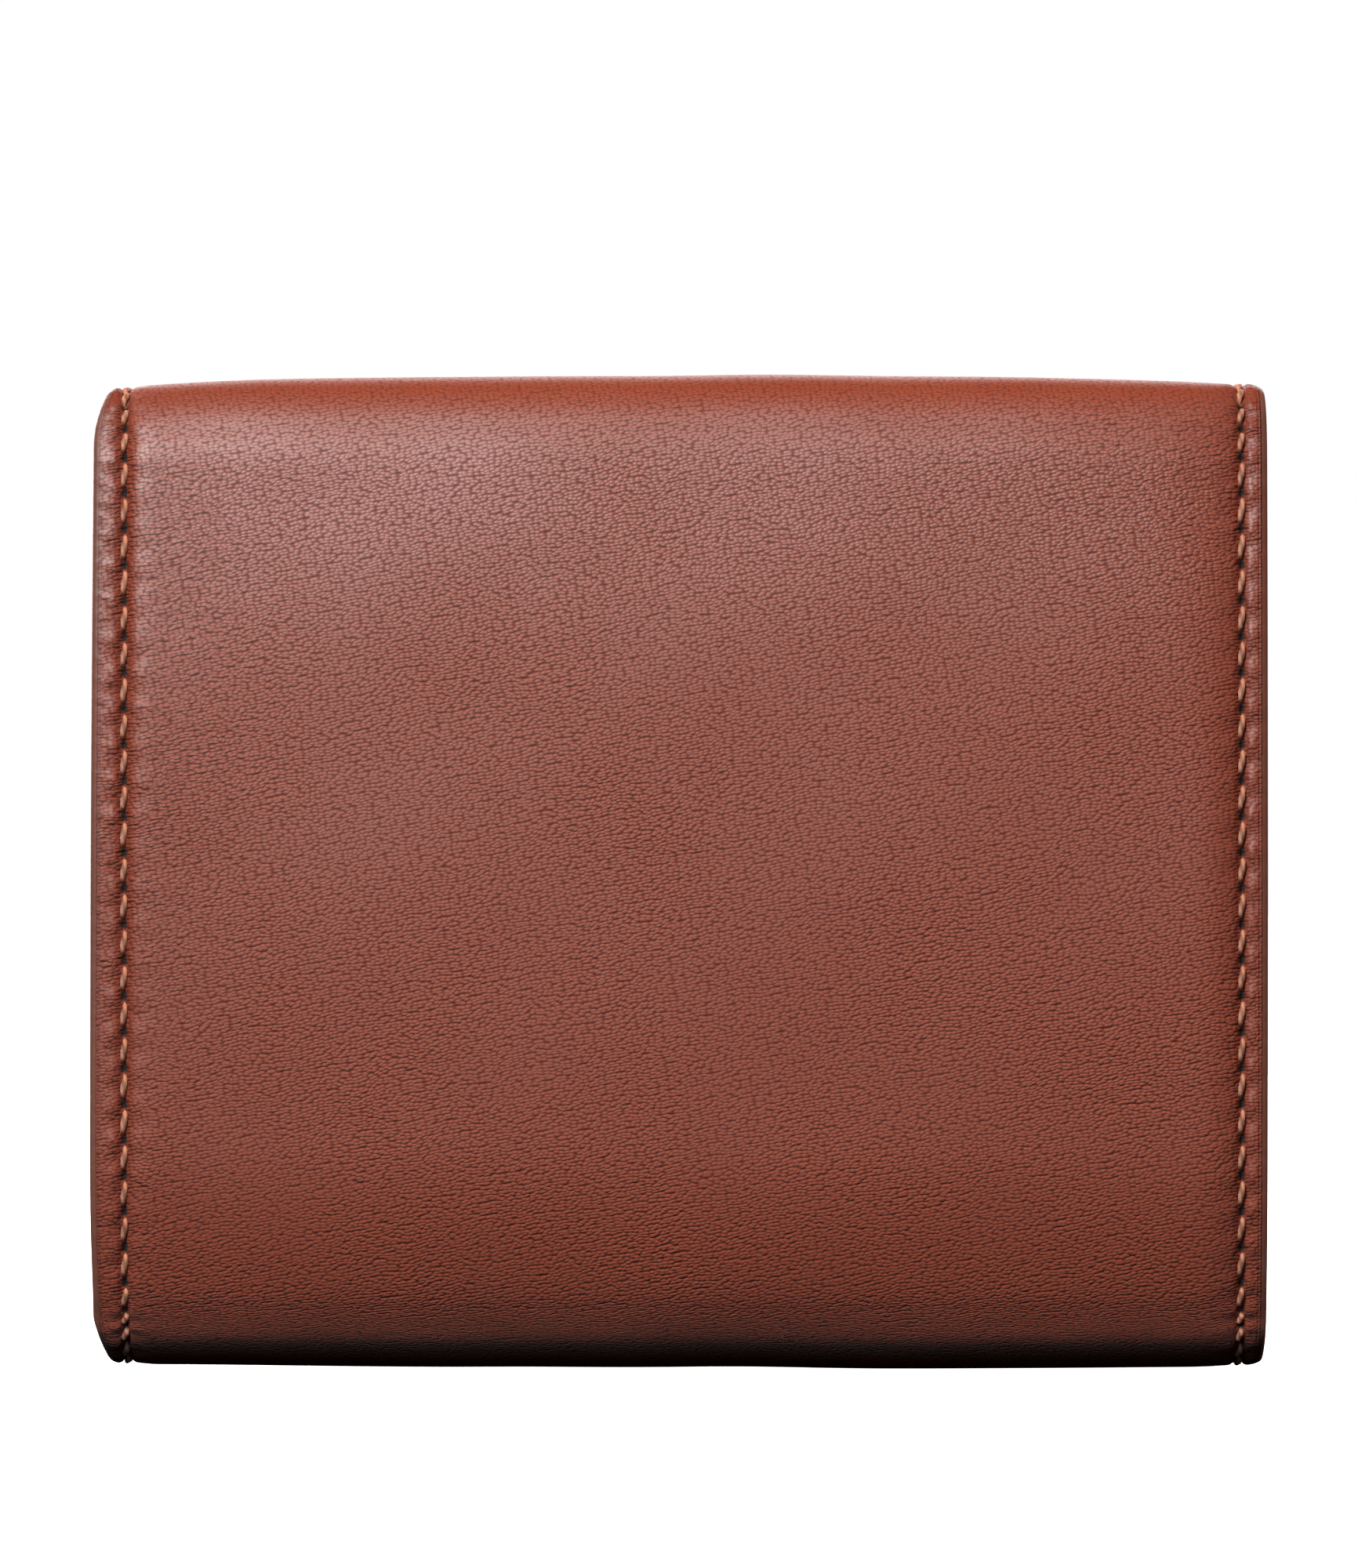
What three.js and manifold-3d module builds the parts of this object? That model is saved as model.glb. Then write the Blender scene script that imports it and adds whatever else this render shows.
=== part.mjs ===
// A compact trifold wallet of brown leather, closed and standing on its lower fold.
// Millimetres, +Z up. X runs along the width, the plain back panel faces -Y and the flap faces +Y.
// The origin is at the middle of the footprint. The wallet is five stretches of one leather shell:
// the lower fold, the back panel, the upper fold, the flap and the coin panel that lies under the flap.
// Every stretch is cut at its creases, so that it can turn on the crease when the wallet is opened flat.

import * as THREE from 'three';
import { mergeVertices } from 'three/addons/utils/BufferGeometryUtils.js';
import Module from 'manifold-3d';

// ---- Driving dimensions ----

// Closed outline
const WIDTH = 105;
const HEIGHT = 89;
const CREASE_RADIUS = 5; // outer radius of the leather at each of the four creases
const CREASE_GAP = 0.4; // between a panel's end and the fold that it turns on

// Layers
const SHELL = 1.3; // leather
const LINING = 0.5; // woven lining
const STIFFENER = 0.4; // bonded-leather board
const LAYER_GAP = 0.3; // between layers that are glued
const LINING_INSET = 0.5; // lining and leaves stop short of the painted edge
const STIFFENER_INSET = 5.5; // board stays inside the seams

// Banknote compartment and card pockets on the back panel
const NOTE_SPACE = 0.9;
const DIVIDER = 0.6;
const DIVIDER_DROP = 2; // divider's top edge below the panel's end
const CARD_SPACE = 0.9;
const CARD_LEAF = 0.7;
const CARD_POCKETS = 3;
const CARD_POCKET_DEPTH = 48; // a bank card stands 6 mm out of it
const FIRST_MOUTH_DROP = 7; // rear pocket's mouth below the panel's end
const LOWEST_POCKET_LIFT = 2.5; // front pocket's bottom edge above the panel's lower end

// Coin panel, the third of the wallet that folds up under the flap
const POCKETS_TO_COIN_WALL = 0.5;
const COIN_WALL = 0.6;
const COIN_SPACE = 5;
const COIN_PANEL_TOP = 46;
const COIN_WALL_DROP = 2; // the pocket's inner wall stops below the panel's edge
const COIN_BASE = 0.8;
const COIN_BASE_LIFT = 0.6; // base above the panel's lower end
const GUSSET = 0.6;
const GUSSET_INSET = 5.5; // from the panel's side edge to the gusset's outer ends
const GUSSET_FOLD = 3; // how far the gusset folds in

// Flap
const FLAP_GAP = 0.7; // between the closed flap and the coin panel
const FLAP_EDGE = 22; // height of the flap's free edge
const FREE_CORNER = 6; // corner radius of the free edges
const SLIP_SPACE = 0.9;
const SLIP_LEAF = 0.7;
const SLIP_ABOVE_COIN_PANEL = 2;
const SLIP_DROP = 3; // slip pocket's mouth below the panel's end

// Saddle-stitched seams, each a thread in a groove
const SEAM_INSET_LEFT = 3.1; // seen from the back
const SEAM_INSET_RIGHT = 2.4;
const SEAM_INSET_FREE = 2.8; // along the free edges of the flap and the coin panel
const THREAD_WIDTH = 0.7;
const THREAD_HEIGHT = 0.5;
const THREAD_CLEARANCE = 0.2;

// Press stud
const STUD_HEIGHT_ON_FLAP = 11; // centre above the flap's free edge
const CAP_RADIUS = 6.5;
const CAP_DOME = 1.1;
const CAP_RIM = 0.4;
const FITTING_GAP = 0.2; // between a metal part and the leather that it clamps
const SHANK_RADIUS = 1.1;
const SHANK_CLEARANCE = 0.3;
const SOCKET_RADIUS = 5.2;
const SOCKET_BORE = 3.4;
const SOCKET_PLATE = 0.35;
const SOCKET_RIM_STEP = 0.25; // rim above the flap's inner face
const FITTING_WINDOW = 6.2; // radius of the hole in lining and board around a fitting
const SPRING_WIRE = 0.3;
const SPRING_CLEARANCE = 0.2;
const STUD_FLANGE_RADIUS = 4;
const STUD_FLANGE = 0.4;
const STUD_NECK_RADIUS = 1.6;
const STUD_HEAD_RADIUS = 2.1;
const STUD_TIP_GAP = 0.25; // between the stud's tip and the socket's plate
const POST_FLANGE_RADIUS = 4;
const POST_WINDOW_CLEARANCE = 0.5;

// Facets
const ARC_STEPS = 8; // in a quarter turn
const ROUND_STEPS = 28; // around a fitting

// ---- Where each layer lies, measured from the back panel's outer face ----

const backShell = 0;
const backStiffener = backShell + SHELL + LAYER_GAP;
const backLining = backStiffener + STIFFENER + LAYER_GAP;
const divider = backLining + LINING + NOTE_SPACE;
const firstCardLeaf = divider + DIVIDER + CARD_SPACE;
const cardPitch = CARD_LEAF + CARD_SPACE;
const lastCardLeaf = firstCardLeaf + (CARD_POCKETS - 1) * cardPitch;
const coinWall = lastCardLeaf + CARD_LEAF + POCKETS_TO_COIN_WALL;
const coinLining = coinWall + COIN_WALL + COIN_SPACE;
const coinStiffener = coinLining + LINING + LAYER_GAP;
const coinShell = coinStiffener + STIFFENER + LAYER_GAP;
const coinFace = coinShell + SHELL;
const flapLining = coinFace + FLAP_GAP;
const flapStiffener = flapLining + LINING + LAYER_GAP;
const flapShell = flapStiffener + STIFFENER + LAYER_GAP;
const flapFace = flapShell + SHELL;
const slipLeaf = flapLining - SLIP_SPACE - SLIP_LEAF;
const capTop = flapFace + FITTING_GAP + CAP_RIM + CAP_DOME;

const panelBottom = CREASE_RADIUS + CREASE_GAP;
const panelTop = HEIGHT - CREASE_RADIUS - CREASE_GAP;
const half = WIDTH / 2;
const seamLeft = -half + SEAM_INSET_LEFT;
const seamRight = half - SEAM_INSET_RIGHT;
const studHeight = FLAP_EDGE + STUD_HEIGHT_ON_FLAP;

// ---- Finishes ----

const finish = (color, roughness, metalness) => () =>
  new THREE.MeshStandardMaterial({ color, roughness, metalness });
const leather = finish(0x7a3524, 0.45, 0);
const innerLeather = finish(0x6b3020, 0.55, 0);
const cloth = finish(0x4a3a30, 0.9, 0);
const board = finish(0x9c8468, 0.9, 0);
const thread = finish(0xb4744e, 0.75, 0);
const brass = finish(0xb08d4c, 0.3, 1);
const steel = finish(0xb8b8bc, 0.35, 1);

// ---- Solids ----

const wasm = await Module();
wasm.setup();

function asManifold(geometry) {
  const bare = geometry.clone();
  bare.deleteAttribute('normal');
  bare.deleteAttribute('uv');
  const merged = mergeVertices(bare, 1e-4);
  return new wasm.Manifold(new wasm.Mesh({
    numProp: 3,
    vertProperties: new Float32Array(merged.attributes.position.array),
    triVerts: new Uint32Array(merged.index.array),
  }));
}

function asGeometry(solid) {
  const mesh = solid.getMesh();
  const geometry = new THREE.BufferGeometry();
  geometry.setAttribute('position', new THREE.BufferAttribute(new Float32Array(mesh.vertProperties), 3));
  geometry.setIndex(new THREE.BufferAttribute(new Uint32Array(mesh.triVerts), 1));
  geometry.computeVertexNormals();
  return geometry;
}

// The geometry less each of the cutters.
function cut(geometry, cutters) {
  let solid = asManifold(geometry);
  for (const cutter of cutters) {
    solid = solid.subtract(asManifold(cutter));
  }
  return asGeometry(solid);
}

const extrude = (shape, depth) => new THREE.ExtrudeGeometry(shape, {
  depth,
  steps: 1,
  bevelEnabled: false,
  curveSegments: ARC_STEPS,
});

// A rectangle in X and Z with its bottom or top corners rounded.
function panelOutline({ left, right, bottom, top, bottomCorner = 0, topCorner = 0 }) {
  const outline = new THREE.Shape();
  const corner = (x, z, radius, quarter) =>
    outline.absarc(x, z, radius, quarter * Math.PI / 2, (quarter + 1) * Math.PI / 2, false);
  outline.moveTo(left, bottom + bottomCorner);
  if (bottomCorner > 0) {
    corner(left + bottomCorner, bottom + bottomCorner, bottomCorner, 2);
    corner(right - bottomCorner, bottom + bottomCorner, bottomCorner, 3);
  } else {
    outline.lineTo(right, bottom);
  }
  outline.lineTo(right, top - topCorner);
  if (topCorner > 0) {
    corner(right - topCorner, top - topCorner, topCorner, 0);
    corner(left + topCorner, top - topCorner, topCorner, 1);
  } else {
    outline.lineTo(left, top);
  }
  return outline;
}

// A flat layer: an outline in X and Z, from the depth y to y + thickness.
const layer = (outline, y, thickness) =>
  extrude(outline, thickness).rotateX(Math.PI / 2).translate(0, y + thickness, 0);

// A prism whose outline lies in Y and Z, from x to x + width.
function alongWidth(outline, x, width) {
  const turn = new THREE.Matrix4().makeBasis(
    new THREE.Vector3(0, 1, 0),
    new THREE.Vector3(0, 0, 1),
    new THREE.Vector3(1, 0, 0),
  );
  return extrude(outline, width).applyMatrix4(turn).translate(x, 0, 0);
}

// A plain block between two heights and two depths.
const block = (left, right, y, thickness, bottom, top) =>
  layer(panelOutline({ left, right, bottom, top }), y, thickness);

// The outline of a fold in Y and Z: a flat spine between two quarter arcs, open upwards. It spans the
// depths from inset to foldDepth - inset, and overrun makes its arms longer than the arcs.
function foldOutline(foldDepth, inset, thickness, overrun = 0) {
  const outer = CREASE_RADIUS - inset;
  const inner = outer - thickness;
  const near = CREASE_RADIUS;
  const far = foldDepth - CREASE_RADIUS;
  const armEnd = CREASE_RADIUS + overrun;
  const outline = new THREE.Shape();
  outline.moveTo(inset, armEnd);
  outline.absarc(near, CREASE_RADIUS, outer, Math.PI, 1.5 * Math.PI, false);
  outline.absarc(far, CREASE_RADIUS, outer, 1.5 * Math.PI, 2 * Math.PI, false);
  outline.lineTo(foldDepth - inset, armEnd);
  outline.lineTo(foldDepth - inset - thickness, armEnd);
  outline.absarc(far, CREASE_RADIUS, inner, 2 * Math.PI, 1.5 * Math.PI, true);
  outline.absarc(near, CREASE_RADIUS, inner, 1.5 * Math.PI, Math.PI, true);
  outline.lineTo(inset + thickness, armEnd);
  return outline;
}

// Half a turn about the wallet's middle height makes an upper fold of a lower one.
const turnedOver = (geometry, foldDepth) =>
  geometry.rotateX(Math.PI).translate(0, foldDepth, HEIGHT);

// A round fitting: half of its section, as [radius, depth] pairs, turned about the Y axis through the
// middle of the width at the press stud's height.
function fitting(section) {
  const points = section.map(([radius, y]) => new THREE.Vector2(radius, y));
  return new THREE.LatheGeometry(points, ROUND_STEPS).translate(0, 0, studHeight);
}

// A round hole through the depths y to y + thickness, around the press stud's axis.
const studHole = (radius, y, thickness) => fitting([
  [0, y - 1],
  [radius, y - 1],
  [radius, y + thickness + 1],
  [0, y + thickness + 1],
]);

// ---- Shared pieces of seam ----

const grooveWidth = THREAD_WIDTH + 2 * THREAD_CLEARANCE;
const grooveDepth = THREAD_HEIGHT + THREAD_CLEARANCE;
const beyond = 1; // cutters run past the faces that they open

const straightThread = (x, y, bottom, top) =>
  block(x - THREAD_WIDTH / 2, x + THREAD_WIDTH / 2, y, THREAD_HEIGHT, bottom, top);

const foldThread = (x, foldDepth) =>
  alongWidth(foldOutline(foldDepth, 0, THREAD_HEIGHT), x - THREAD_WIDTH / 2, THREAD_WIDTH);

const foldGroove = (x, foldDepth) => alongWidth(
  foldOutline(foldDepth, -beyond, grooveDepth + beyond, beyond),
  x - grooveWidth / 2,
  grooveWidth,
);

// A U-shaped band that follows the two sides and one free edge of a panel, band wide about its line.
// The free edge is at height edge, and the open ends are at height end.
function seamBand(edge, end, band) {
  const inward = Math.sign(end - edge);
  const outline = new THREE.Shape();
  const reach = band / 2;
  const corner = FREE_CORNER - SEAM_INSET_FREE;
  const line = edge + inward * SEAM_INSET_FREE;
  const sweep = inward > 0;
  const quarter = Math.PI / 2;
  const away = (k) => (sweep ? k : -k) * quarter;
  const centre = line + inward * corner;
  outline.moveTo(seamLeft - reach, end);
  outline.lineTo(seamLeft - reach, centre);
  outline.absarc(seamLeft + corner, centre, corner + reach, away(2), away(3), !sweep);
  outline.absarc(seamRight - corner, centre, corner + reach, away(3), away(4), !sweep);
  outline.lineTo(seamRight + reach, end);
  outline.lineTo(seamRight - reach, end);
  outline.absarc(seamRight - corner, centre, corner - reach, away(4), away(3), sweep);
  outline.absarc(seamLeft + corner, centre, corner - reach, away(3), away(2), sweep);
  outline.lineTo(seamLeft + reach, end);
  return outline;
}

// ---- The wallet ----

const wallet = new THREE.Group();
wallet.position.y = -capTop / 2;

function place(group, name, geometry, material) {
  const mesh = new THREE.Mesh(geometry, material());
  mesh.name = name;
  group.add(mesh);
}

// A fold: the leather, its lining and the thread of both side seams.
function addFold(name, foldDepth, isUpper) {
  const group = new THREE.Group();
  const turn = (geometry) => (isUpper ? turnedOver(geometry, foldDepth) : geometry);
  const seams = { left: seamLeft, right: seamRight };
  const leatherBand = alongWidth(foldOutline(foldDepth, 0, SHELL), -half, WIDTH);
  const grooves = Object.values(seams).map((x) => foldGroove(x, foldDepth));
  place(group, `shell_${name}`, turn(cut(leatherBand, grooves)), leather);
  const liningBand = alongWidth(
    foldOutline(foldDepth, SHELL + LAYER_GAP, LINING),
    -half + LINING_INSET,
    WIDTH - 2 * LINING_INSET,
  );
  place(group, `lining_${name}`, turn(liningBand), cloth);
  for (const [side, x] of Object.entries(seams)) {
    place(group, `seam_${side}_${name}`, turn(foldThread(x, foldDepth)), thread);
  }
  wallet.add(group);
}

// The back panel: shell, board, lining, divider and the staggered card pockets.
function addBackPanel() {
  const group = new THREE.Group();
  const leatherPanel = block(-half, half, backShell, SHELL, panelBottom, panelTop);
  const grooves = [seamLeft, seamRight].map((x) => block(
    x - grooveWidth / 2,
    x + grooveWidth / 2,
    backShell - beyond,
    grooveDepth + beyond,
    panelBottom - beyond,
    panelTop + beyond,
  ));
  place(group, 'shell_back', cut(leatherPanel, grooves), leather);
  place(group, 'seam_left_back', straightThread(seamLeft, backShell, panelBottom, panelTop), thread);
  place(group, 'seam_right_back', straightThread(seamRight, backShell, panelBottom, panelTop), thread);
  const boardSide = half - STIFFENER_INSET;
  place(
    group,
    'stiffener_back',
    block(-boardSide, boardSide, backStiffener, STIFFENER, panelBottom, panelTop),
    board,
  );
  const leafSide = half - LINING_INSET;
  place(group, 'lining_back', block(-leafSide, leafSide, backLining, LINING, panelBottom, panelTop), cloth);
  place(
    group,
    'note_divider',
    block(-leafSide, leafSide, divider, DIVIDER, panelBottom, panelTop - DIVIDER_DROP),
    innerLeather,
  );
  const firstMouth = panelTop - FIRST_MOUTH_DROP;
  const lastMouth = panelBottom + LOWEST_POCKET_LIFT + CARD_POCKET_DEPTH;
  const stagger = (firstMouth - lastMouth) / (CARD_POCKETS - 1);
  for (let pocket = 0; pocket < CARD_POCKETS; pocket += 1) {
    const mouth = firstMouth - pocket * stagger;
    place(
      group,
      `card_pocket_${pocket + 1}`,
      block(
        -leafSide,
        leafSide,
        firstCardLeaf + pocket * cardPitch,
        CARD_LEAF,
        mouth - CARD_POCKET_DEPTH,
        mouth,
      ),
      innerLeather,
    );
  }
  wallet.add(group);
}

// The flap: shell, board and lining with a window for the press stud's socket, a slip pocket, the seam
// around three sides, and the stud's cap, socket and spring.
function addFlap() {
  const group = new THREE.Group();
  const outlineOf = (inset) => panelOutline({
    left: -half + inset,
    right: half - inset,
    bottom: FLAP_EDGE + inset,
    top: panelTop,
    bottomCorner: FREE_CORNER - Math.min(inset, FREE_CORNER / 2),
  });
  const groove = layer(
    seamBand(FLAP_EDGE, panelTop + beyond, grooveWidth),
    flapFace - grooveDepth,
    grooveDepth + beyond,
  );
  const shankHole = studHole(SHANK_RADIUS + SHANK_CLEARANCE, flapShell, SHELL);
  const leatherPanel = layer(outlineOf(0), flapShell, SHELL);
  place(group, 'shell_flap', cut(leatherPanel, [groove, shankHole]), leather);
  place(
    group,
    'seam_flap',
    layer(seamBand(FLAP_EDGE, panelTop, THREAD_WIDTH), flapFace - THREAD_HEIGHT, THREAD_HEIGHT),
    thread,
  );
  const boardWindow = studHole(FITTING_WINDOW, flapStiffener, STIFFENER);
  const boardPanel = layer(outlineOf(STIFFENER_INSET), flapStiffener, STIFFENER);
  place(group, 'stiffener_flap', cut(boardPanel, [boardWindow]), board);
  const liningWindow = studHole(FITTING_WINDOW, flapLining, LINING);
  const liningPanel = layer(outlineOf(LINING_INSET), flapLining, LINING);
  place(group, 'lining_flap', cut(liningPanel, [liningWindow]), cloth);
  const leafSide = half - LINING_INSET;
  place(
    group,
    'slip_pocket_flap',
    block(
      -leafSide,
      leafSide,
      slipLeaf,
      SLIP_LEAF,
      COIN_PANEL_TOP + SLIP_ABOVE_COIN_PANEL,
      panelTop - SLIP_DROP,
    ),
    innerLeather,
  );
  addFlapFittings(group);
  wallet.add(group);
}

const socketMouth = flapLining + SOCKET_RIM_STEP;
const socketTop = flapShell - FITTING_GAP;
const socketFloor = socketTop - SOCKET_PLATE;

function addFlapFittings(group) {
  const seat = flapFace + FITTING_GAP;
  const shankEnd = flapShell + FITTING_GAP;
  const dome = [];
  for (let step = 1; step < ARC_STEPS; step += 1) {
    const angle = (step / ARC_STEPS) * Math.PI / 2;
    dome.push([CAP_RADIUS * Math.cos(angle), seat + CAP_RIM + CAP_DOME * Math.sin(angle)]);
  }
  place(group, 'snap_cap', fitting([
    [0, shankEnd],
    [SHANK_RADIUS, shankEnd],
    [SHANK_RADIUS, seat],
    [CAP_RADIUS, seat],
    [CAP_RADIUS, seat + CAP_RIM],
    ...dome,
    [0, capTop],
  ]), brass);
  place(group, 'snap_socket', fitting([
    [0, socketFloor],
    [SOCKET_BORE, socketFloor],
    [SOCKET_BORE, socketMouth],
    [SOCKET_RADIUS, socketMouth],
    [SOCKET_RADIUS, socketTop],
    [0, socketTop],
  ]), brass);
  const springOuter = SOCKET_BORE - SPRING_CLEARANCE;
  const springInner = springOuter - SPRING_WIRE;
  const springLow = socketMouth + SPRING_CLEARANCE;
  place(group, 'snap_spring', fitting([
    [springInner, springLow],
    [springOuter, springLow],
    [springOuter, springLow + SPRING_WIRE],
    [springInner, springLow + SPRING_WIRE],
    [springInner, springLow],
  ]), steel);
}

// The coin panel: shell, board and lining, the gusseted coin pocket on its inner side, the seam around
// three sides, and the press stud with its back post.
function addCoinPanel() {
  const group = new THREE.Group();
  const outlineOf = (inset) => panelOutline({
    left: -half + inset,
    right: half - inset,
    bottom: panelBottom,
    top: COIN_PANEL_TOP - inset,
    topCorner: FREE_CORNER - Math.min(inset, FREE_CORNER / 2),
  });
  const groove = layer(
    seamBand(COIN_PANEL_TOP, panelBottom - beyond, grooveWidth),
    coinFace - grooveDepth,
    grooveDepth + beyond,
  );
  const postHole = studHole(SHANK_RADIUS + SHANK_CLEARANCE, coinShell, SHELL);
  place(group, 'shell_coin_panel', cut(layer(outlineOf(0), coinShell, SHELL), [groove, postHole]), leather);
  place(
    group,
    'seam_coin_panel',
    layer(
      seamBand(COIN_PANEL_TOP, panelBottom, THREAD_WIDTH),
      coinFace - THREAD_HEIGHT,
      THREAD_HEIGHT,
    ),
    thread,
  );
  const postWindow = studHole(POST_FLANGE_RADIUS + POST_WINDOW_CLEARANCE, coinStiffener, STIFFENER);
  const boardPanel = layer(outlineOf(STIFFENER_INSET), coinStiffener, STIFFENER);
  place(group, 'stiffener_coin_panel', cut(boardPanel, [postWindow]), board);
  place(group, 'lining_coin_panel', layer(outlineOf(LINING_INSET), coinLining, LINING), cloth);
  addCoinPocket(group);
  addCoinPanelFittings(group);
  wallet.add(group);
}

const coinPocketTop = COIN_PANEL_TOP - COIN_WALL_DROP;
const coinBase = panelBottom + COIN_BASE_LIFT;

function addCoinPocket(group) {
  const leafSide = half - LINING_INSET;
  place(
    group,
    'coin_pocket_wall',
    layer(panelOutline({
      left: -leafSide,
      right: leafSide,
      bottom: coinBase,
      top: coinPocketTop,
      topCorner: FREE_CORNER,
    }), coinWall, COIN_WALL),
    innerLeather,
  );
  const near = coinWall + COIN_WALL + LAYER_GAP;
  const far = coinLining - LAYER_GAP;
  const ends = half - GUSSET_INSET;
  place(
    group,
    'coin_pocket_base',
    block(-ends, ends, near, far - near, coinBase, coinBase + COIN_BASE),
    innerLeather,
  );
  const gussetBottom = coinBase + COIN_BASE + LAYER_GAP;
  for (const [side, sign] of [['left', -1], ['right', 1]]) {
    const outline = new THREE.Shape();
    outline.moveTo(sign * ends, near);
    outline.lineTo(sign * (ends - GUSSET_FOLD), (near + far) / 2);
    outline.lineTo(sign * ends, far);
    outline.lineTo(sign * (ends - GUSSET), far);
    outline.lineTo(sign * (ends - GUSSET_FOLD - GUSSET), (near + far) / 2);
    outline.lineTo(sign * (ends - GUSSET), near);
    const gusset = extrude(outline, coinPocketTop - gussetBottom).translate(0, 0, gussetBottom);
    place(group, `coin_pocket_gusset_${side}`, gusset, innerLeather);
  }
}

function addCoinPanelFittings(group) {
  const seat = coinFace + FITTING_GAP;
  const flangeTop = seat + STUD_FLANGE;
  const tip = socketFloor - STUD_TIP_GAP;
  const neckTop = flangeTop + (tip - flangeTop) / 3;
  place(group, 'snap_stud', fitting([
    [0, seat],
    [STUD_FLANGE_RADIUS, seat],
    [STUD_FLANGE_RADIUS, flangeTop],
    [STUD_NECK_RADIUS, flangeTop],
    [STUD_NECK_RADIUS, neckTop],
    [STUD_HEAD_RADIUS, (neckTop + tip) / 2],
    [STUD_NECK_RADIUS, tip],
    [0, tip],
  ]), brass);
  const postEnd = coinFace - FITTING_GAP / 2;
  place(group, 'snap_post', fitting([
    [0, coinStiffener],
    [POST_FLANGE_RADIUS, coinStiffener],
    [POST_FLANGE_RADIUS, coinStiffener + STIFFENER],
    [SHANK_RADIUS, coinStiffener + STIFFENER],
    [SHANK_RADIUS, postEnd],
    [0, postEnd],
  ]), brass);
}

addFold('lower_fold', coinFace, false);
addBackPanel();
addFold('upper_fold', flapFace, true);
addFlap();
addCoinPanel();

export default wallet;
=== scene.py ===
"""A compact trifold wallet of brown leather, closed and standing on its lower fold.

One skin of leather runs from the coin panel's free edge, under the lower fold, up the plain back, over
the upper fold and down the flap. It is worked out once, on coordinates x, across the width, and s, the
length along the skin, and is then cut at the creases: each stretch of a panel or fold moves with its
body, and the stretches over the creases stay where they were built.
"""

import math

import bpy
import numpy as np
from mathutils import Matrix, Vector


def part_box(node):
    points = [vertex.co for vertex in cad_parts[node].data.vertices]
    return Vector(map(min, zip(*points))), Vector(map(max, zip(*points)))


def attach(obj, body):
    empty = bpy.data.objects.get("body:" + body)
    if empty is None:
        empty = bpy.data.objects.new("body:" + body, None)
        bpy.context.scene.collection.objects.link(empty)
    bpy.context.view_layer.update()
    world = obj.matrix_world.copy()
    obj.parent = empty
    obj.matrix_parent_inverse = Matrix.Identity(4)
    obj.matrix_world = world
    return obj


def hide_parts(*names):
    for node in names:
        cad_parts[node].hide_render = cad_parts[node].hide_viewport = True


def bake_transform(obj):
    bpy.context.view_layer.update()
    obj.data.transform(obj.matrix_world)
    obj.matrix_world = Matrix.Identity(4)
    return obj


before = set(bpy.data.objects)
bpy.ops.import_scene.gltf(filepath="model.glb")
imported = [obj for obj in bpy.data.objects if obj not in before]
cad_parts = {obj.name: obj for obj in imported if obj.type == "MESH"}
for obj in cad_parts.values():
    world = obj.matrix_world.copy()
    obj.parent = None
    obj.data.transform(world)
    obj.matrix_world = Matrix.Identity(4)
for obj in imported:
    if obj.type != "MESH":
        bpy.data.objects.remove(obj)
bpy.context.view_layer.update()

MM = 0.001

# ---- Sizes taken from the frame ----

back_low, back_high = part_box("shell_back")
flap_low, flap_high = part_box("shell_flap")
coin_low, coin_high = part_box("shell_coin_panel")
HALF = back_high.x
BACK_Y = back_low.y
FLAP_Y = flap_high.y
COIN_Y = coin_high.y
SHELL = back_high.y - back_low.y
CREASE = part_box("shell_lower_fold")[1].z
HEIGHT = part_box("shell_upper_fold")[1].z
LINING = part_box("lining_back")[1].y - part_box("lining_back")[0].y
LINING_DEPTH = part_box("lining_back")[0].y - BACK_Y
SEAM_LEFT = (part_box("seam_left_back")[0].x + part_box("seam_left_back")[1].x) / 2
SEAM_RIGHT = (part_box("seam_right_back")[0].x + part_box("seam_right_back")[1].x) / 2
THREAD_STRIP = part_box("seam_left_back")[1].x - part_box("seam_left_back")[0].x
SEAM_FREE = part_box("seam_flap")[0].z - flap_low.z + THREAD_STRIP / 2
STUD_Z = (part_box("snap_cap")[0].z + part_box("snap_cap")[1].z) / 2

# ---- Sizes of the looks ----

FREE_CORNER = 6.0 * MM  # corner radius of the free edges
SHOULDER = 0.5 * MM  # rounded, painted shoulder of the cut edge
PITCH = 3.22 * MM  # from one stitch hole to the next
THREAD = 0.27 * MM  # thread radius
ROW = PITCH / 9  # step along the skin
GLUE = 0.12 * MM  # between the leather and what is stuck to its inner face
PAD = 0.4 * MM  # thickness of the stiffening board
UV_LENGTH = 100 * MM  # what one unit of the UV map is long
EVEN_SHINE = 0.7  # shine of the inner leather
THIN_EDGE = 1.6  # how much narrower the painted edge is on the thin inner leather

# ---- Camera ----


def make_camera():
    """A long lens, level, straight at the plain back, a little above the wallet's middle."""
    distance = 1.15
    frame_height = 139.5 * MM
    above_middle = 7.9 * MM
    data = bpy.data.cameras.new("camera")
    data.sensor_width = 36.0
    data.lens = data.sensor_width * distance / frame_height
    data.clip_start = 0.01
    data.clip_end = 50.0
    camera = bpy.data.objects.new("camera", data)
    camera.location = (0.0, BACK_Y - distance, HEIGHT / 2 + above_middle)
    camera.rotation_euler = (math.pi / 2, 0.0, 0.0)
    bpy.context.scene.collection.objects.link(camera)
    bpy.context.scene.camera = camera


make_camera()


# ---- Numbers on arrays ----


def ease(low, high, x):
    """0 below low, 1 above high, and smooth between."""
    t = np.clip((x - low) / (high - low), 0.0, 1.0)
    return t * t * (3.0 - 2.0 * t)


def bell(x, width):
    """1 at x = 0, falling to about a third at x = width."""
    return np.exp(-((x / width) ** 2))


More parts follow.
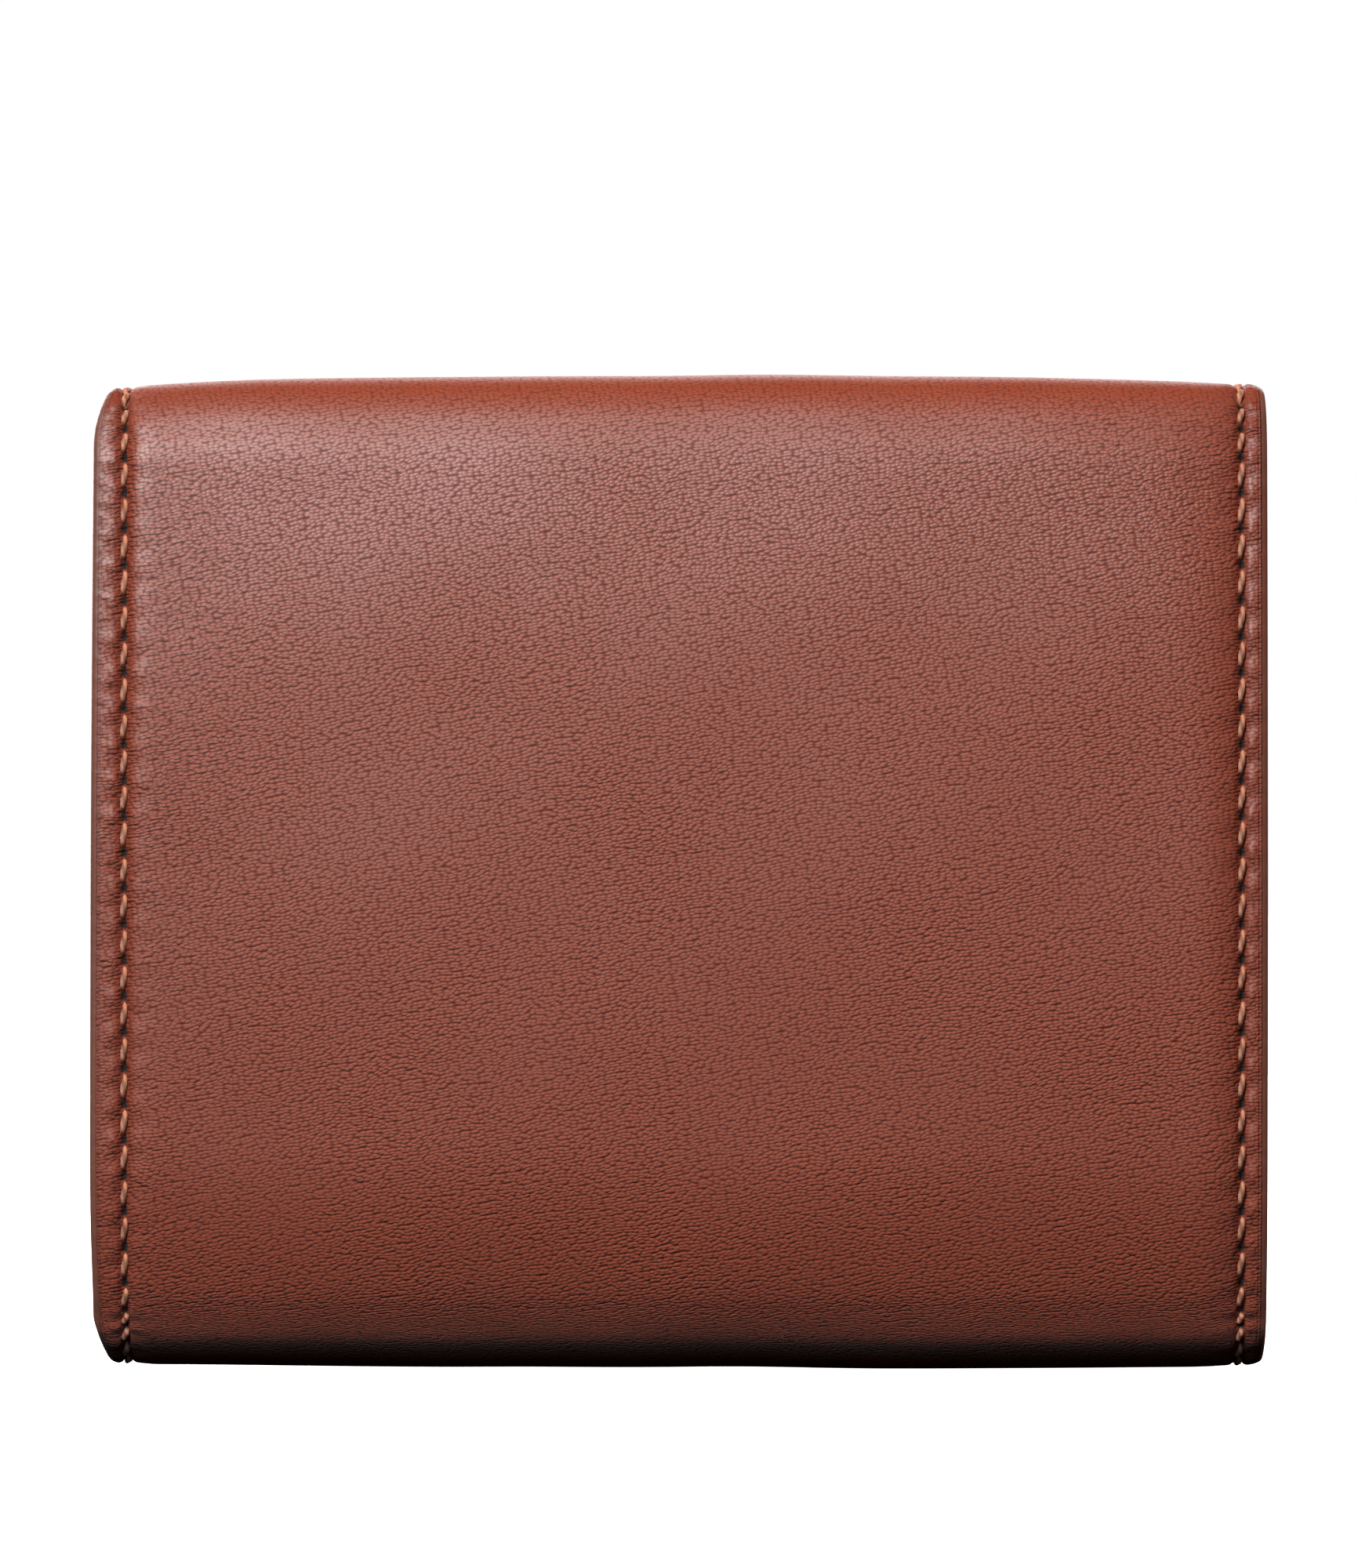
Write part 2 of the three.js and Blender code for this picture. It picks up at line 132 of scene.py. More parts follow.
def unit(vectors):
    """The vectors, each divided by its length."""
    return vectors / np.maximum(np.linalg.norm(vectors, axis=-1, keepdims=True), 1e-12)


# ---- The path of the skin ----

QUARTER = math.pi / 2 * CREASE
LOWER_FLAT = COIN_Y - BACK_Y - 2 * CREASE
UPPER_FLAT = FLAP_Y - BACK_Y - 2 * CREASE
BACK_LENGTH = HEIGHT - 2 * CREASE
# s is 0 where the back panel begins, above the lower fold
S_COIN_END = -(2 * QUARTER + LOWER_FLAT + coin_high.z - CREASE)
S_COIN = -(2 * QUARTER + LOWER_FLAT)
S_LOWER_FRONT = -(QUARTER + LOWER_FLAT)
S_LOWER_BACK = -QUARTER
S_UPPER_BACK = BACK_LENGTH + QUARTER
S_UPPER_FRONT = BACK_LENGTH + QUARTER + UPPER_FLAT
S_FLAP = BACK_LENGTH + 2 * QUARTER + UPPER_FLAT
S_FLAP_END = S_FLAP + HEIGHT - CREASE - flap_low.z

# Each stretch: name, from, to, and the body that it moves with, or the two bodies that it lies between
STRETCHES = [
    ("coin_panel", S_COIN_END, S_COIN, ["coin_panel"]),
    ("coin_crease", S_COIN, S_LOWER_FRONT, ["coin_panel", "lower_fold"]),
    ("lower_spine", S_LOWER_FRONT, S_LOWER_BACK, ["lower_fold"]),
    ("back_crease", S_LOWER_BACK, 0.0, ["lower_fold", "back"]),
    ("back", 0.0, BACK_LENGTH, ["back"]),
    ("upper_back_crease", BACK_LENGTH, S_UPPER_BACK, ["back", "upper_fold"]),
    ("upper_spine", S_UPPER_BACK, S_UPPER_FRONT, ["upper_fold"]),
    ("flap_crease", S_UPPER_FRONT, S_FLAP, ["upper_fold", "flap"]),
    ("flap", S_FLAP, S_FLAP_END, ["flap"]),
]
STATIONS = [S_COIN_END, S_COIN, S_LOWER_FRONT, S_LOWER_BACK, 0.0, BACK_LENGTH]
STATIONS += [S_UPPER_BACK, S_UPPER_FRONT, S_FLAP, S_FLAP_END]


def make_path():
    """The skin's outer line in Y and Z, sampled finely: its heading turns a right angle at each crease,
    eased before and after it, and its place is the running sum of its heading. The easing makes the
    folds a little smaller, so the line is then stretched to reach the panels' and folds' planes again."""
    step = 0.05 * MM
    spare = 4.0 * MM
    reach_of_easing = 5.5 * MM
    s = np.arange(S_COIN_END - spare, S_FLAP_END + spare, step)
    down = -math.pi / 2
    turns = [down, down, 2 * down, 2 * down, 3 * down, 3 * down, 4 * down, 4 * down, 5 * down, 5 * down]
    heading = np.interp(s, STATIONS, turns)
    easing = np.hanning(2 * int(reach_of_easing / step) + 1)
    padded = np.pad(heading, len(easing) // 2, mode="edge")
    heading = np.convolve(padded, easing / easing.sum(), mode="valid")
    y = np.cumsum(np.cos(heading)) * step
    z = np.cumsum(np.sin(heading)) * step
    middle = np.argmin(np.abs(s - BACK_LENGTH / 2))
    y = y - y[middle]
    z = z - z[middle]
    is_upper = s > BACK_LENGTH / 2
    reach_y = np.where(is_upper, (FLAP_Y - BACK_Y) / y[-1], (COIN_Y - BACK_Y) / y[0])
    reach_z = np.where(is_upper, HEIGHT / 2 / z.max(), -HEIGHT / 2 / z.min())
    return s, BACK_Y + y * reach_y, HEIGHT / 2 + z * reach_z, heading


PATH = make_path()


def on_skin(x, s, height):
    """The point at x and s, moved from the skin's outer line by height along the line's normal, and so
    outside it where height is over 0."""
    table, path_y, path_z, path_heading = PATH
    heading = np.interp(s, table, path_heading)
    y = np.interp(s, table, path_y) - np.sin(heading) * height
    z = np.interp(s, table, path_z) + np.cos(heading) * height
    x, y, z = np.broadcast_arrays(x, y, z)
    return np.stack([x, y, z], axis=-1)


# ---- The seam: one line of stitches round the whole skin, a rectangle with round corners ----

SEAM_CORNER = FREE_CORNER - SEAM_FREE
SEAM_MIDDLE_X = (SEAM_LEFT + SEAM_RIGHT) / 2
SEAM_MIDDLE_S = (S_COIN_END + S_FLAP_END) / 2
SEAM_A = (SEAM_RIGHT - SEAM_LEFT) / 2 - SEAM_CORNER
SEAM_B = (S_FLAP_END - S_COIN_END) / 2 - SEAM_FREE - SEAM_CORNER
SEAM_ROUND = math.pi / 2 * SEAM_CORNER
SEAM_SIDE = 2 * SEAM_B
SEAM_END = 2 * SEAM_A
SEAM_LENGTH = 2 * (SEAM_SIDE + SEAM_END) + 4 * SEAM_ROUND
STITCHES = round(SEAM_LENGTH / PITCH)
STITCH = SEAM_LENGTH / STITCHES


def seam_place(t):
    """The seam's point (x, s) and direction at the length t round it, from the left side's lower end up:
    four straight legs, and a quarter circle round each corner's centre."""
    t = np.mod(t, SEAM_LENGTH)
    legs = [SEAM_SIDE, SEAM_ROUND, SEAM_END, SEAM_ROUND] * 2
    starts = np.concatenate([[0.0], np.cumsum(legs)])
    quarter = math.pi / 2
    angles = quarter * np.array([0, 0, 1, 1, 2, 2, 3, 3, 4])
    turned = np.interp(t, starts, angles)
    corners_x = np.array([-1, -1, -1, 1, 1, 1, 1, -1, -1]) * SEAM_A
    corners_s = np.array([-1, 1, 1, 1, 1, -1, -1, -1, -1]) * SEAM_B
    centre_x = np.interp(t, starts, corners_x)
    centre_s = np.interp(t, starts, corners_s)
    x = SEAM_MIDDLE_X + centre_x - SEAM_CORNER * np.cos(turned)
    s = SEAM_MIDDLE_S + centre_s + SEAM_CORNER * np.sin(turned)
    return x, s, np.sin(turned), np.cos(turned)


def seam_measures(x, s):
    """For each point: how far it is outside the seam, under 0 inside, and the length round the seam of
    the seam's nearest point."""
    across = x - SEAM_MIDDLE_X
    along = s - SEAM_MIDDLE_S
    qx = np.abs(across) - SEAM_A
    qs = np.abs(along) - SEAM_B
    outside = np.hypot(np.maximum(qx, 0), np.maximum(qs, 0)) + np.minimum(np.maximum(qx, qs), 0)
    turn = SEAM_CORNER * np.arctan2(np.maximum(qs, 0), np.maximum(qx, 1e-9))
    side = np.clip(along, -SEAM_B, SEAM_B)
    end = np.clip(across, -SEAM_A, SEAM_A)
    left = np.where(along > 0, SEAM_B + side + turn, SEAM_B + side - turn)
    right_start = SEAM_SIDE + 2 * SEAM_ROUND + SEAM_END
    right = right_start + np.where(along > 0, SEAM_B - side - turn, SEAM_B - side + turn)
    top = SEAM_SIDE + SEAM_ROUND + SEAM_A + end
    low = 2 * SEAM_SIDE + 3 * SEAM_ROUND + SEAM_END + SEAM_A - end
    on_side = qx >= qs
    corner = (qx > 0) & (qs > 0)
    t = np.where(on_side | corner, np.where(across < 0, left, right), np.where(along > 0, top, low))
    return outside - SEAM_CORNER, t


# ---- The relief of the skin's outer face ----


def fold_share(s):
    """Two shares, for the lower and the upper fold: 1 on the fold and 0 on the panels, eased over the
    creases."""
    lower = ease(S_COIN - 2 * MM, S_LOWER_FRONT, s) * (1 - ease(S_LOWER_BACK, 3 * MM, s))
    upper = ease(BACK_LENGTH - 3 * MM, S_UPPER_BACK, s) * (1 - ease(S_UPPER_FRONT, S_FLAP + 2 * MM, s))
    return lower, upper


def swell(x, s):
    """The soft form without the stitching: the panels are fullest between the seams, where the layers
    lie under them, and drop to the flat margins, and the folds are fullest a little off their middle. The
    back is a low dome, leans back towards its top and rolls under towards its lower end."""
    lower, upper = fold_share(s)
    panels = 1 - lower - upper
    rise = np.clip(s / BACK_LENGTH, 0, 1)
    margin = (0.62 + 0.25 * rise) * MM
    round_right = (5.0 + 5.0 * ease(0.55, 1.0, rise)) * MM
    near_left = 1 - (1 - np.clip((x - SEAM_LEFT) / (2.8 * MM), 0, 1)) ** 3
    near_right = 1 - (1 - np.clip((SEAM_RIGHT - x) / round_right, 0, 1)) ** 2.6
    sides = margin * (1 - near_left * near_right)
    across = np.clip(x / (47 * MM), -1, 1)
    high = 0.35 * np.clip(rise / 0.8 - 0.25, 0, 1) ** 2.6
    turned = np.clip(-s / (13 * MM), 0, 1)
    roll = 1.8 * np.clip(1 - rise / 0.19, 0, 1) ** 2 * (1 + 1.7 * turned) * (1 - ease(0, 1, turned))
    dome = (0.5 * (1 - across**2) + 1.3 * (1 - (2 * rise - 1) ** 2) - 0.65 - high) * MM
    on_back = ease(S_LOWER_BACK, 4 * MM, s) * (1 - ease(BACK_LENGTH, S_UPPER_BACK, s))
    behind = (s > -13 * MM) & (s < BACK_LENGTH)
    left = np.where(x < 0, -x, 0) / HALF
    right = np.where(x > 0, x, 0) / HALF
    crown = (1.15 * left**2.7 + 0.72 * right**2.4) * MM
    off_middle = (x - 18 * MM) / HALF
    belly = 0.22 * np.abs(off_middle) ** 2.0 * MM
    folds = -crown * upper - belly * lower - roll * MM * behind
    fold_sides = 0.15 * MM * (1 - ease(0.0, 2.4 * MM, x - SEAM_LEFT) * near_right) * (lower + upper)
    snap = np.hypot(x, S_FLAP + HEIGHT - CREASE - STUD_Z - s)
    dimple = 0.16 * MM * bell(snap - 6.6 * MM, 1.3 * MM) * (s > S_FLAP)
    return dome * on_back - sides * panels + folds - fold_sides - dimple


def ripples(x, s):
    """Slow, low waves, the sum of a few slanted sines, so that no stretch is quite flat."""
    total = 0.0
    waves = [
        (61, 47, 0.3, 0.05),
        (-38, 29, 1.9, 0.028),
        (23, 71, 4.0, 0.025),
        (-17, -19, 2.6, 0.010),
    ]
    for length_x, length_s, phase, height in waves:
        total = total + height * np.sin(2 * math.pi * (x / length_x + s / length_s) / MM + phase)
    return total * MM


def stitch_relief(x, s):
    """What the stitches do to the leather: a groove along the seam, a pull beside each thread, a small
    bulge beside each hole, and the hole itself. Returns the height and how deep in a hole a point is."""
    outside, t = seam_measures(x, s)
    phase = 2 * math.pi * t / STITCH
    at_hole = 0.5 + 0.5 * np.cos(phase)
    at_thread = 1 - at_hole
    groove = 0.42 * bell(outside, 0.42 * MM) + 0.16 * np.clip(outside / (2.6 * MM), 0, 1.2) ** 1.5
    pull = 0.17 * bell(outside - 0.25 * MM, 1.05 * MM) + 0.07 * bell(outside + 1.0 * MM, 1.2 * MM)
    pull = pull * at_thread
    bulge = 0.10 * bell(outside - 0.95 * MM, 0.55 * MM) * at_hole
    along = (np.mod(t / STITCH + 0.5, 1.0) - 0.5) * STITCH
    hole = bell(outside, 0.26 * MM) * bell(along, 0.42 * MM)
    uneven = 1 + 0.25 * np.sin(t / MM * 0.61) + 0.2 * np.sin(t / MM * 0.173 + 1.0)
    return (-(groove + pull * uneven) + bulge * uneven - 0.55 * hole) * MM, hole


def margin_puckers(x, s):
    """Short gathers across the left margin and beside the left seam, deepest near the upper fold: two
    sines of s, slanted by x, the first with a wandering phase."""
    lean = (s + 0.22 * (x - SEAM_LEFT)) / MM
    gathers = np.sin(lean * 3.9 + 2.2 * np.sin(lean * 0.37)) + 0.6 * np.sin(lean * 6.7 + 1.3)
    share = bell(x - SEAM_LEFT + 1.2 * MM, 2.2 * MM) * (0.5 + 0.5 * ease(0.3, 0.95, s / BACK_LENGTH))
    right = 0.5 * bell(x - SEAM_RIGHT - 1.0 * MM, 1.4 * MM)
    return 0.026 * MM * gathers * (share + right)


def seam_shade_share(x, s):
    """Where the leather is pressed down by the thread and its tone is painted darker, as painted shade:
    outside the left seam, and to both sides of the right one."""
    outside = seam_measures(x, s)[0]
    left = bell(outside - 0.45 * MM, 0.75 * MM)
    right = bell(outside + 0.6 * MM, 1.7 * MM)
    return left + (right - left) * ease(-10 * MM, 10 * MM, x)


def shine_share(s):
    """How polished the leather is: most by the upper fold, where a hand holds it, and dull at the lower
    fold, on which it stands. Eased steps, added up, of the millimetres above the lower fold."""
    up = s / MM + 5.0
    back = 0.05 + 0.33 * ease(7, 22, up) + 0.22 * ease(15, 60, up) + 0.34 * ease(58, 80, up)
    back = back - 0.3 * ease(81, 85, up)
    front = 0.6 * ease(S_LOWER_FRONT - 20 * MM, S_LOWER_FRONT - 30 * MM, s) + 0.06
    return np.where(s > S_LOWER_FRONT, back, front)


def wrinkle_share(x, s):
    """Where the leather is drawn into fine wrinkles: on the left by the seam, most towards the top, and
    at the top right."""
    rise = np.clip(s / BACK_LENGTH, 0, 1)
    left = bell(np.maximum(x - SEAM_LEFT, 0), 11 * MM) * (0.35 + 0.65 * bell(rise - 0.8, 0.35))
    right = 0.8 * bell(np.maximum(SEAM_RIGHT - x, 0), 13 * MM) * bell(rise - 0.97, 0.13)
    return np.clip(left + right, 0, 1)


def edge_reach(s):
    """Where the skin's left and right edges lie at s: they pull in over the folds, and round off in a
    quarter circle at the free ends."""
    lower = ease(S_COIN - 2 * MM, S_LOWER_FRONT, s) * (1 - ease(S_LOWER_BACK - 5 * MM, -2 * MM, s))
    upper = ease(BACK_LENGTH - 1 * MM, S_UPPER_BACK + 2 * MM, s)
    upper = upper * (1 - ease(S_UPPER_FRONT, S_FLAP + 2 * MM, s))
    rise = np.clip(s / BACK_LENGTH, 0, 1)
    left = 1.15 * (lower + upper) + 0.32 * rise**1.5 + 0.2 * bell(rise, 0.08)
    right = 0.06 + 0.14 * upper + 0.12 * lower
    over = np.minimum(s - S_COIN_END, S_FLAP_END - s)
    short = FREE_CORNER - np.clip(over, 0.0, FREE_CORNER)
    corner = FREE_CORNER - np.sqrt(np.maximum(FREE_CORNER**2 - short**2, 0.0))
    return -HALF + left * MM + corner, HALF - right * MM - corner


# ---- Meshes ----


def link(name, mesh):
    """An object of the mesh, in the scene."""
    piece = bpy.data.objects.new(name, mesh)
    bpy.context.scene.collection.objects.link(piece)
    return piece


def build(name, points, faces, corner_normals=None, uv=None, marks=None, smooth=True):
    """A mesh from whole arrays: points, quads as rows of four point numbers, a normal for each face
    corner, a UV for each point, and named point values in marks."""
    mesh = bpy.data.meshes.new(name)
    count = len(faces)
    mesh.vertices.add(len(points))
    mesh.vertices.foreach_set("co", points.astype(np.float32).ravel())
    mesh.loops.add(4 * count)
    mesh.loops.foreach_set("vertex_index", faces.astype(np.int32).ravel())
    mesh.polygons.add(count)
    mesh.polygons.foreach_set("loop_start", np.arange(0, 4 * count, 4, dtype=np.int32))
    mesh.update(calc_edges=True)
    mesh.polygons.foreach_set("use_smooth", np.full(count, smooth))
    if uv is not None:
        layer = mesh.uv_layers.new(name="along")
        layer.data.foreach_set("uv", uv[faces.ravel()].astype(np.float32).ravel())
    for mark, values in (marks or {}).items():
        held = mesh.attributes.new(mark, "FLOAT", "POINT")
        held.data.foreach_set("value", values.astype(np.float32).ravel())
    if corner_normals is not None:
        mesh.normals_split_custom_set(corner_normals.astype(np.float32))
    mesh.validate()
    return link(name, mesh)


def grid_faces(rows, columns, first=0, flip=False):
    """The quads of a grid of rows by columns points, numbered from first."""
    r, c = np.meshgrid(np.arange(rows - 1), np.arange(columns - 1), indexing="ij")
    a = (first + r * columns + c).ravel()
    quads = np.stack([a, a + 1, a + columns + 1, a + columns], axis=1)
    return quads[:, ::-1] if flip else quads


def strip_faces(line, other):
    """The quads between two lines of as many points."""
    return np.stack([line[:-1], other[:-1], other[1:], line[1:]], axis=1)


def surface_normals(points):
    """The normal at each point of a grid: across the columns, then along the rows."""
    along = np.gradient(points, axis=0)
    across = np.gradient(points, axis=1)
    return unit(np.cross(across, along))


def slab(name, top, low, top_normals, uv, marks, cuts=(False, False)):
    """A closed sheet between two grids of points. The rim between them is a strip of quads. At a cut the
    rim is flat, so that the next stretch meets it with no line in the shading."""
    rows, columns = top.shape[:2]
    count = rows * columns
    points = np.concatenate([top.reshape(-1, 3), low.reshape(-1, 3)])
    low_normals = -surface_normals(low)
    normals = np.concatenate([top_normals.reshape(-1, 3), low_normals.reshape(-1, 3)])
    number = np.arange(count).reshape(rows, columns)
    rims = [
        strip_faces(number[0], number[0] + count),
        strip_faces(number[-1][::-1], number[-1][::-1] + count),
        strip_faces(number[:, 0][::-1], number[:, 0][::-1] + count),
        strip_faces(number[:, -1], number[:, -1] + count),
    ]
    faces = np.concatenate([grid_faces(rows, columns), grid_faces(rows, columns, count, True), *rims])
    corner_normals = normals[faces]
    first = 2 * (rows - 1) * (columns - 1)
    lengthways = unit((top[-1, columns // 2] - top[-2, columns // 2])[None])[0]
    backwards = unit((top[0, columns // 2] - top[1, columns // 2])[None])[0]
    for k, (is_cut, facing) in enumerate(zip(cuts, (backwards, lengthways))):
        place = slice(first + k * (columns - 1), first + (k + 1) * (columns - 1))
        if is_cut:
            corner_normals[place] = facing
        else:
            corner_normals[place] = unit(corner_normals[place] + 2.0 * facing)
    left_edge = first + 2 * (columns - 1)
    right_edge = left_edge + rows - 1
    edge_facing = np.array([1.0, 0.0, 0.0])
    left_normals = corner_normals[left_edge:right_edge]
    corner_normals[left_edge:right_edge] = unit(left_normals - 2.0 * edge_facing)
    corner_normals[right_edge:] = unit(corner_normals[right_edge:] + 2.0 * edge_facing)
    both_uv = np.concatenate([uv.reshape(-1, 2), uv.reshape(-1, 2)])
    both_marks = {mark: np.concatenate([v.ravel(), v.ravel()]) for mark, v in marks.items()}
    return build(name, points, faces, corner_normals.reshape(-1, 3), both_uv, both_marks)


def thin(values, apart):
    """The sorted values, with any left out that is nearer than apart to the one before it."""
    kept = []
    for value in np.unique(values):
        if not kept or value - kept[-1] > apart:
            kept.append(value)
    return np.array(kept)


def column_places():
    """Shares of the width, -1 to 1: close together over the shoulders, the margins and the seams."""
    shoulder = SHOULDER * (1 - np.cos(np.linspace(0, math.pi / 2, 6)))
    left_margin = np.arange(SHOULDER, SEAM_LEFT + HALF + 1.2 * MM, 0.24 * MM)
    left_body = np.arange(SEAM_LEFT + HALF + 1.4 * MM, 12 * MM, 0.5 * MM)
    right_margin = np.arange(SHOULDER, HALF - SEAM_RIGHT + 1.2 * MM, 0.24 * MM)
    right_body = np.arange(HALF - SEAM_RIGHT + 1.4 * MM, 12 * MM, 0.5 * MM)
    middle = np.linspace(-HALF + 12 * MM, HALF - 12 * MM, 100)
    left = -HALF + np.concatenate([shoulder, left_margin, left_body])
    right = HALF - np.concatenate([shoulder, right_margin, right_body])
    return thin(np.concatenate([left, middle, right]), 0.01 * MM) / HALF


def row_places():
    """Lengths along the skin: even steps, every station, and closer together towards the free ends."""
    turn = FREE_CORNER * (1 - np.sin(np.linspace(0.4, math.pi / 2, 14)))
    shoulder = SHOULDER * (1 - np.cos(np.linspace(0, math.pi / 2, 6)))
    ends = np.concatenate([turn, shoulder])
    rows = [np.array([S_COIN_END, S_FLAP_END]), S_COIN_END + ends, S_FLAP_END - ends]
    for start, stop in zip(STATIONS[:-1], STATIONS[1:]):
        rows.append(np.linspace(start, stop, max(2, round((stop - start) / ROW) + 1)))
    places = np.concatenate(rows)
    held = thin(places, 0.03 * MM)
    for station in STATIONS:
        held[np.argmin(np.abs(held - station))] = station
    return held


def to_edge(x, s):
    """The distance from each point to the skin's nearest cut edge."""
    left, right = edge_reach(s)
    sides = np.minimum(x - left, right - x)
    ends = np.minimum(s - S_COIN_END, S_FLAP_END - s)
    return np.maximum(np.minimum(sides, ends), 0.0)


def shoulder_drop(distance, radius):
    """How far a rounded edge lies below its face, at a distance in from the edge: a quarter circle."""
    short = radius - np.clip(distance, 0.0, radius)
    return radius - np.sqrt(np.maximum(radius**2 - short**2, 0.0))


def make_skin():
    """The outer and inner faces of the whole skin as grids, with their normals and point values."""
    share = column_places()[None, :]
    s = row_places()[:, None]
    left, right = edge_reach(s)
    x = (left + right) / 2 + share * (right - left) / 2
    s = np.broadcast_to(s, x.shape)
    form = swell(x, s)
    relief, hole = stitch_relief(x, s)
    distance = to_edge(x, s)
    press = (1 - ease(SHOULDER * 0.6, SHOULDER * 1.6, distance)) * 0.08 * MM
    height = form + ripples(x, s) + relief + margin_puckers(x, s) - press
    outer = on_skin(x, s, height - shoulder_drop(distance, SHOULDER))
    inner_round = 0.3 * MM
    inner = on_skin(x, s, form - SHELL + shoulder_drop(distance, inner_round))
    return {
        "x": x,
        "s": s,
        "outer": outer,
        "inner": inner,
        "normals": surface_normals(outer),
        "uv": np.stack([x, s], axis=-1) / UV_LENGTH,
        "marks": {
            "to_edge": distance / MM,
            "hole": hole,
            "seam_shade": seam_shade_share(x, s),
            "wrinkle": wrinkle_share(x, s),
            "shine": shine_share(s),
        },
    }


skin = make_skin()
ROWS_AT = skin["s"][:, 0]


def settle(piece, bodies, start, stop, replaced=()):
    """Makes a finished piece move with its body, or, for a piece between two bodies, leaves it fixed
    where it was built, and hides the nodes that it stands for."""
    if len(bodies) == 1:
        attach(piece, bodies[0])
    else:
        first = on_skin(0.0, start, 0.0)
        last = on_skin(0.0, stop, 0.0)
        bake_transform(piece)
    if replaced:
        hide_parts(*replaced)


# ---- Materials ----


class Value:
    """A number or vector socket of a node tree. Arithmetic on it adds Math nodes."""

    def __init__(self, tree, socket):
        self.tree = tree
        self.socket = socket

    def math(self, operation, *others):
        """A Math node on this value and the others."""
        node = self.tree.nodes.new("ShaderNodeMath")
        node.operation = operation
        for socket, value in zip(node.inputs, (self, *others)):
            join(self.tree, socket, value)
        return Value(self.tree, node.outputs[0])

    def __add__(self, other):
        return self.math("ADD", other)

    def __mul__(self, other):
        return self.math("MULTIPLY", other)

    def __sub__(self, other):
        return self.math("SUBTRACT", other)

    def __rsub__(self, other):
        return (self * -1.0) + other

    __radd__ = __add__
    __rmul__ = __mul__

    def clamp(self):
        """The value, held between 0 and 1."""
        return self.math("MAXIMUM", 0.0).math("MINIMUM", 1.0)

    def between(self, low, high):
        """0 at low, 1 at high, held outside them."""
        return ((self - low) * (1.0 / (high - low))).clamp()


def join(tree, socket, value):
    """Gives a node's input a link or a plain value."""
    if isinstance(value, Value):
        tree.links.new(value.socket, socket)
    else:
        socket.default_value = value


class Finish:
    """A material that is being made."""

    def __init__(self, name):
        self.material = bpy.data.materials.new(name)
        self.material.use_nodes = True
        self.tree = self.material.node_tree
        self.tree.nodes.clear()
        self.output = self.tree.nodes.new("ShaderNodeOutputMaterial")

    def node(self, kind, settings=None, inputs=None, out=0):
        """Any node: its settings first, then its inputs."""
        node = self.tree.nodes.new(kind)
        for name, value in (settings or {}).items():
            setattr(node, name, value)
        for name, value in (inputs or {}).items():
            join(self.tree, node.inputs[name], value)
        return Value(self.tree, node.outputs[out])

    def mark(self, name):
        """The piece's own point value of that name."""
        return self.node("ShaderNodeAttribute", {"attribute_name": name}, out="Fac")

    def along(self):
        """The piece's own UV map, which lies along the sheet."""
        return self.node("ShaderNodeUVMap", {"uv_map": "along"})

    def placed(self):
        """The place on the piece, in metres."""
        return self.node("ShaderNodeTexCoord", out="Object")

    def scaled(self, vector, size, turn=0.0):
        """The vector multiplied by size, and then turned about Z."""
        return self.node(
            "ShaderNodeMapping", None, {"Vector": vector, "Scale": size, "Rotation": (0.0, 0.0, turn)}
        )

    def noise(self, vector, scale, detail=2.0, rough=0.5, out="Fac", kind="3D"):
        """Soft noise at the vector, from 0 to 1, or a noise colour with out="Color"."""
        settings = {"noise_dimensions": kind}
        inputs = {"Vector": vector, "Scale": scale, "Detail": detail, "Roughness": rough}
        return self.node("ShaderNodeTexNoise", settings, inputs, out)

    def bend(self, vector, by, amount):
        """The vector moved by a noise colour, centred on 0, times amount."""
        half = (0.5, 0.5, 0.5)
        centred = self.node("ShaderNodeVectorMath", {"operation": "SUBTRACT"}, {0: by, 1: half})
        grown = self.node("ShaderNodeVectorMath", {"operation": "SCALE"}, {0: centred, "Scale": amount})
        return self.node("ShaderNodeVectorMath", {"operation": "ADD"}, {0: vector, 1: grown})

    def mix(self, share, first, second):
        """Colour first where share is 0, second where it is 1."""
        inputs = {"Factor": share, 6: first, 7: second}
        return self.node("ShaderNodeMix", {"data_type": "RGBA"}, inputs, 2)

    def bump(self, height, depth):
        """The normal of a relief that is depth metres deep where height goes from 0 to 1."""
        return self.node("ShaderNodeBump", None, {"Height": height, "Distance": depth, "Strength": 1.0})

    def surface(self, inputs):
        """The Principled shader with these inputs, to the output."""
        shader = self.node("ShaderNodeBsdfPrincipled", None, inputs, "BSDF")
        self.tree.links.new(shader.socket, self.output.inputs["Surface"])
        return self.material


def colour(red, green, blue):
    """A full colour, in linear light."""
    return (red, green, blue, 1.0)


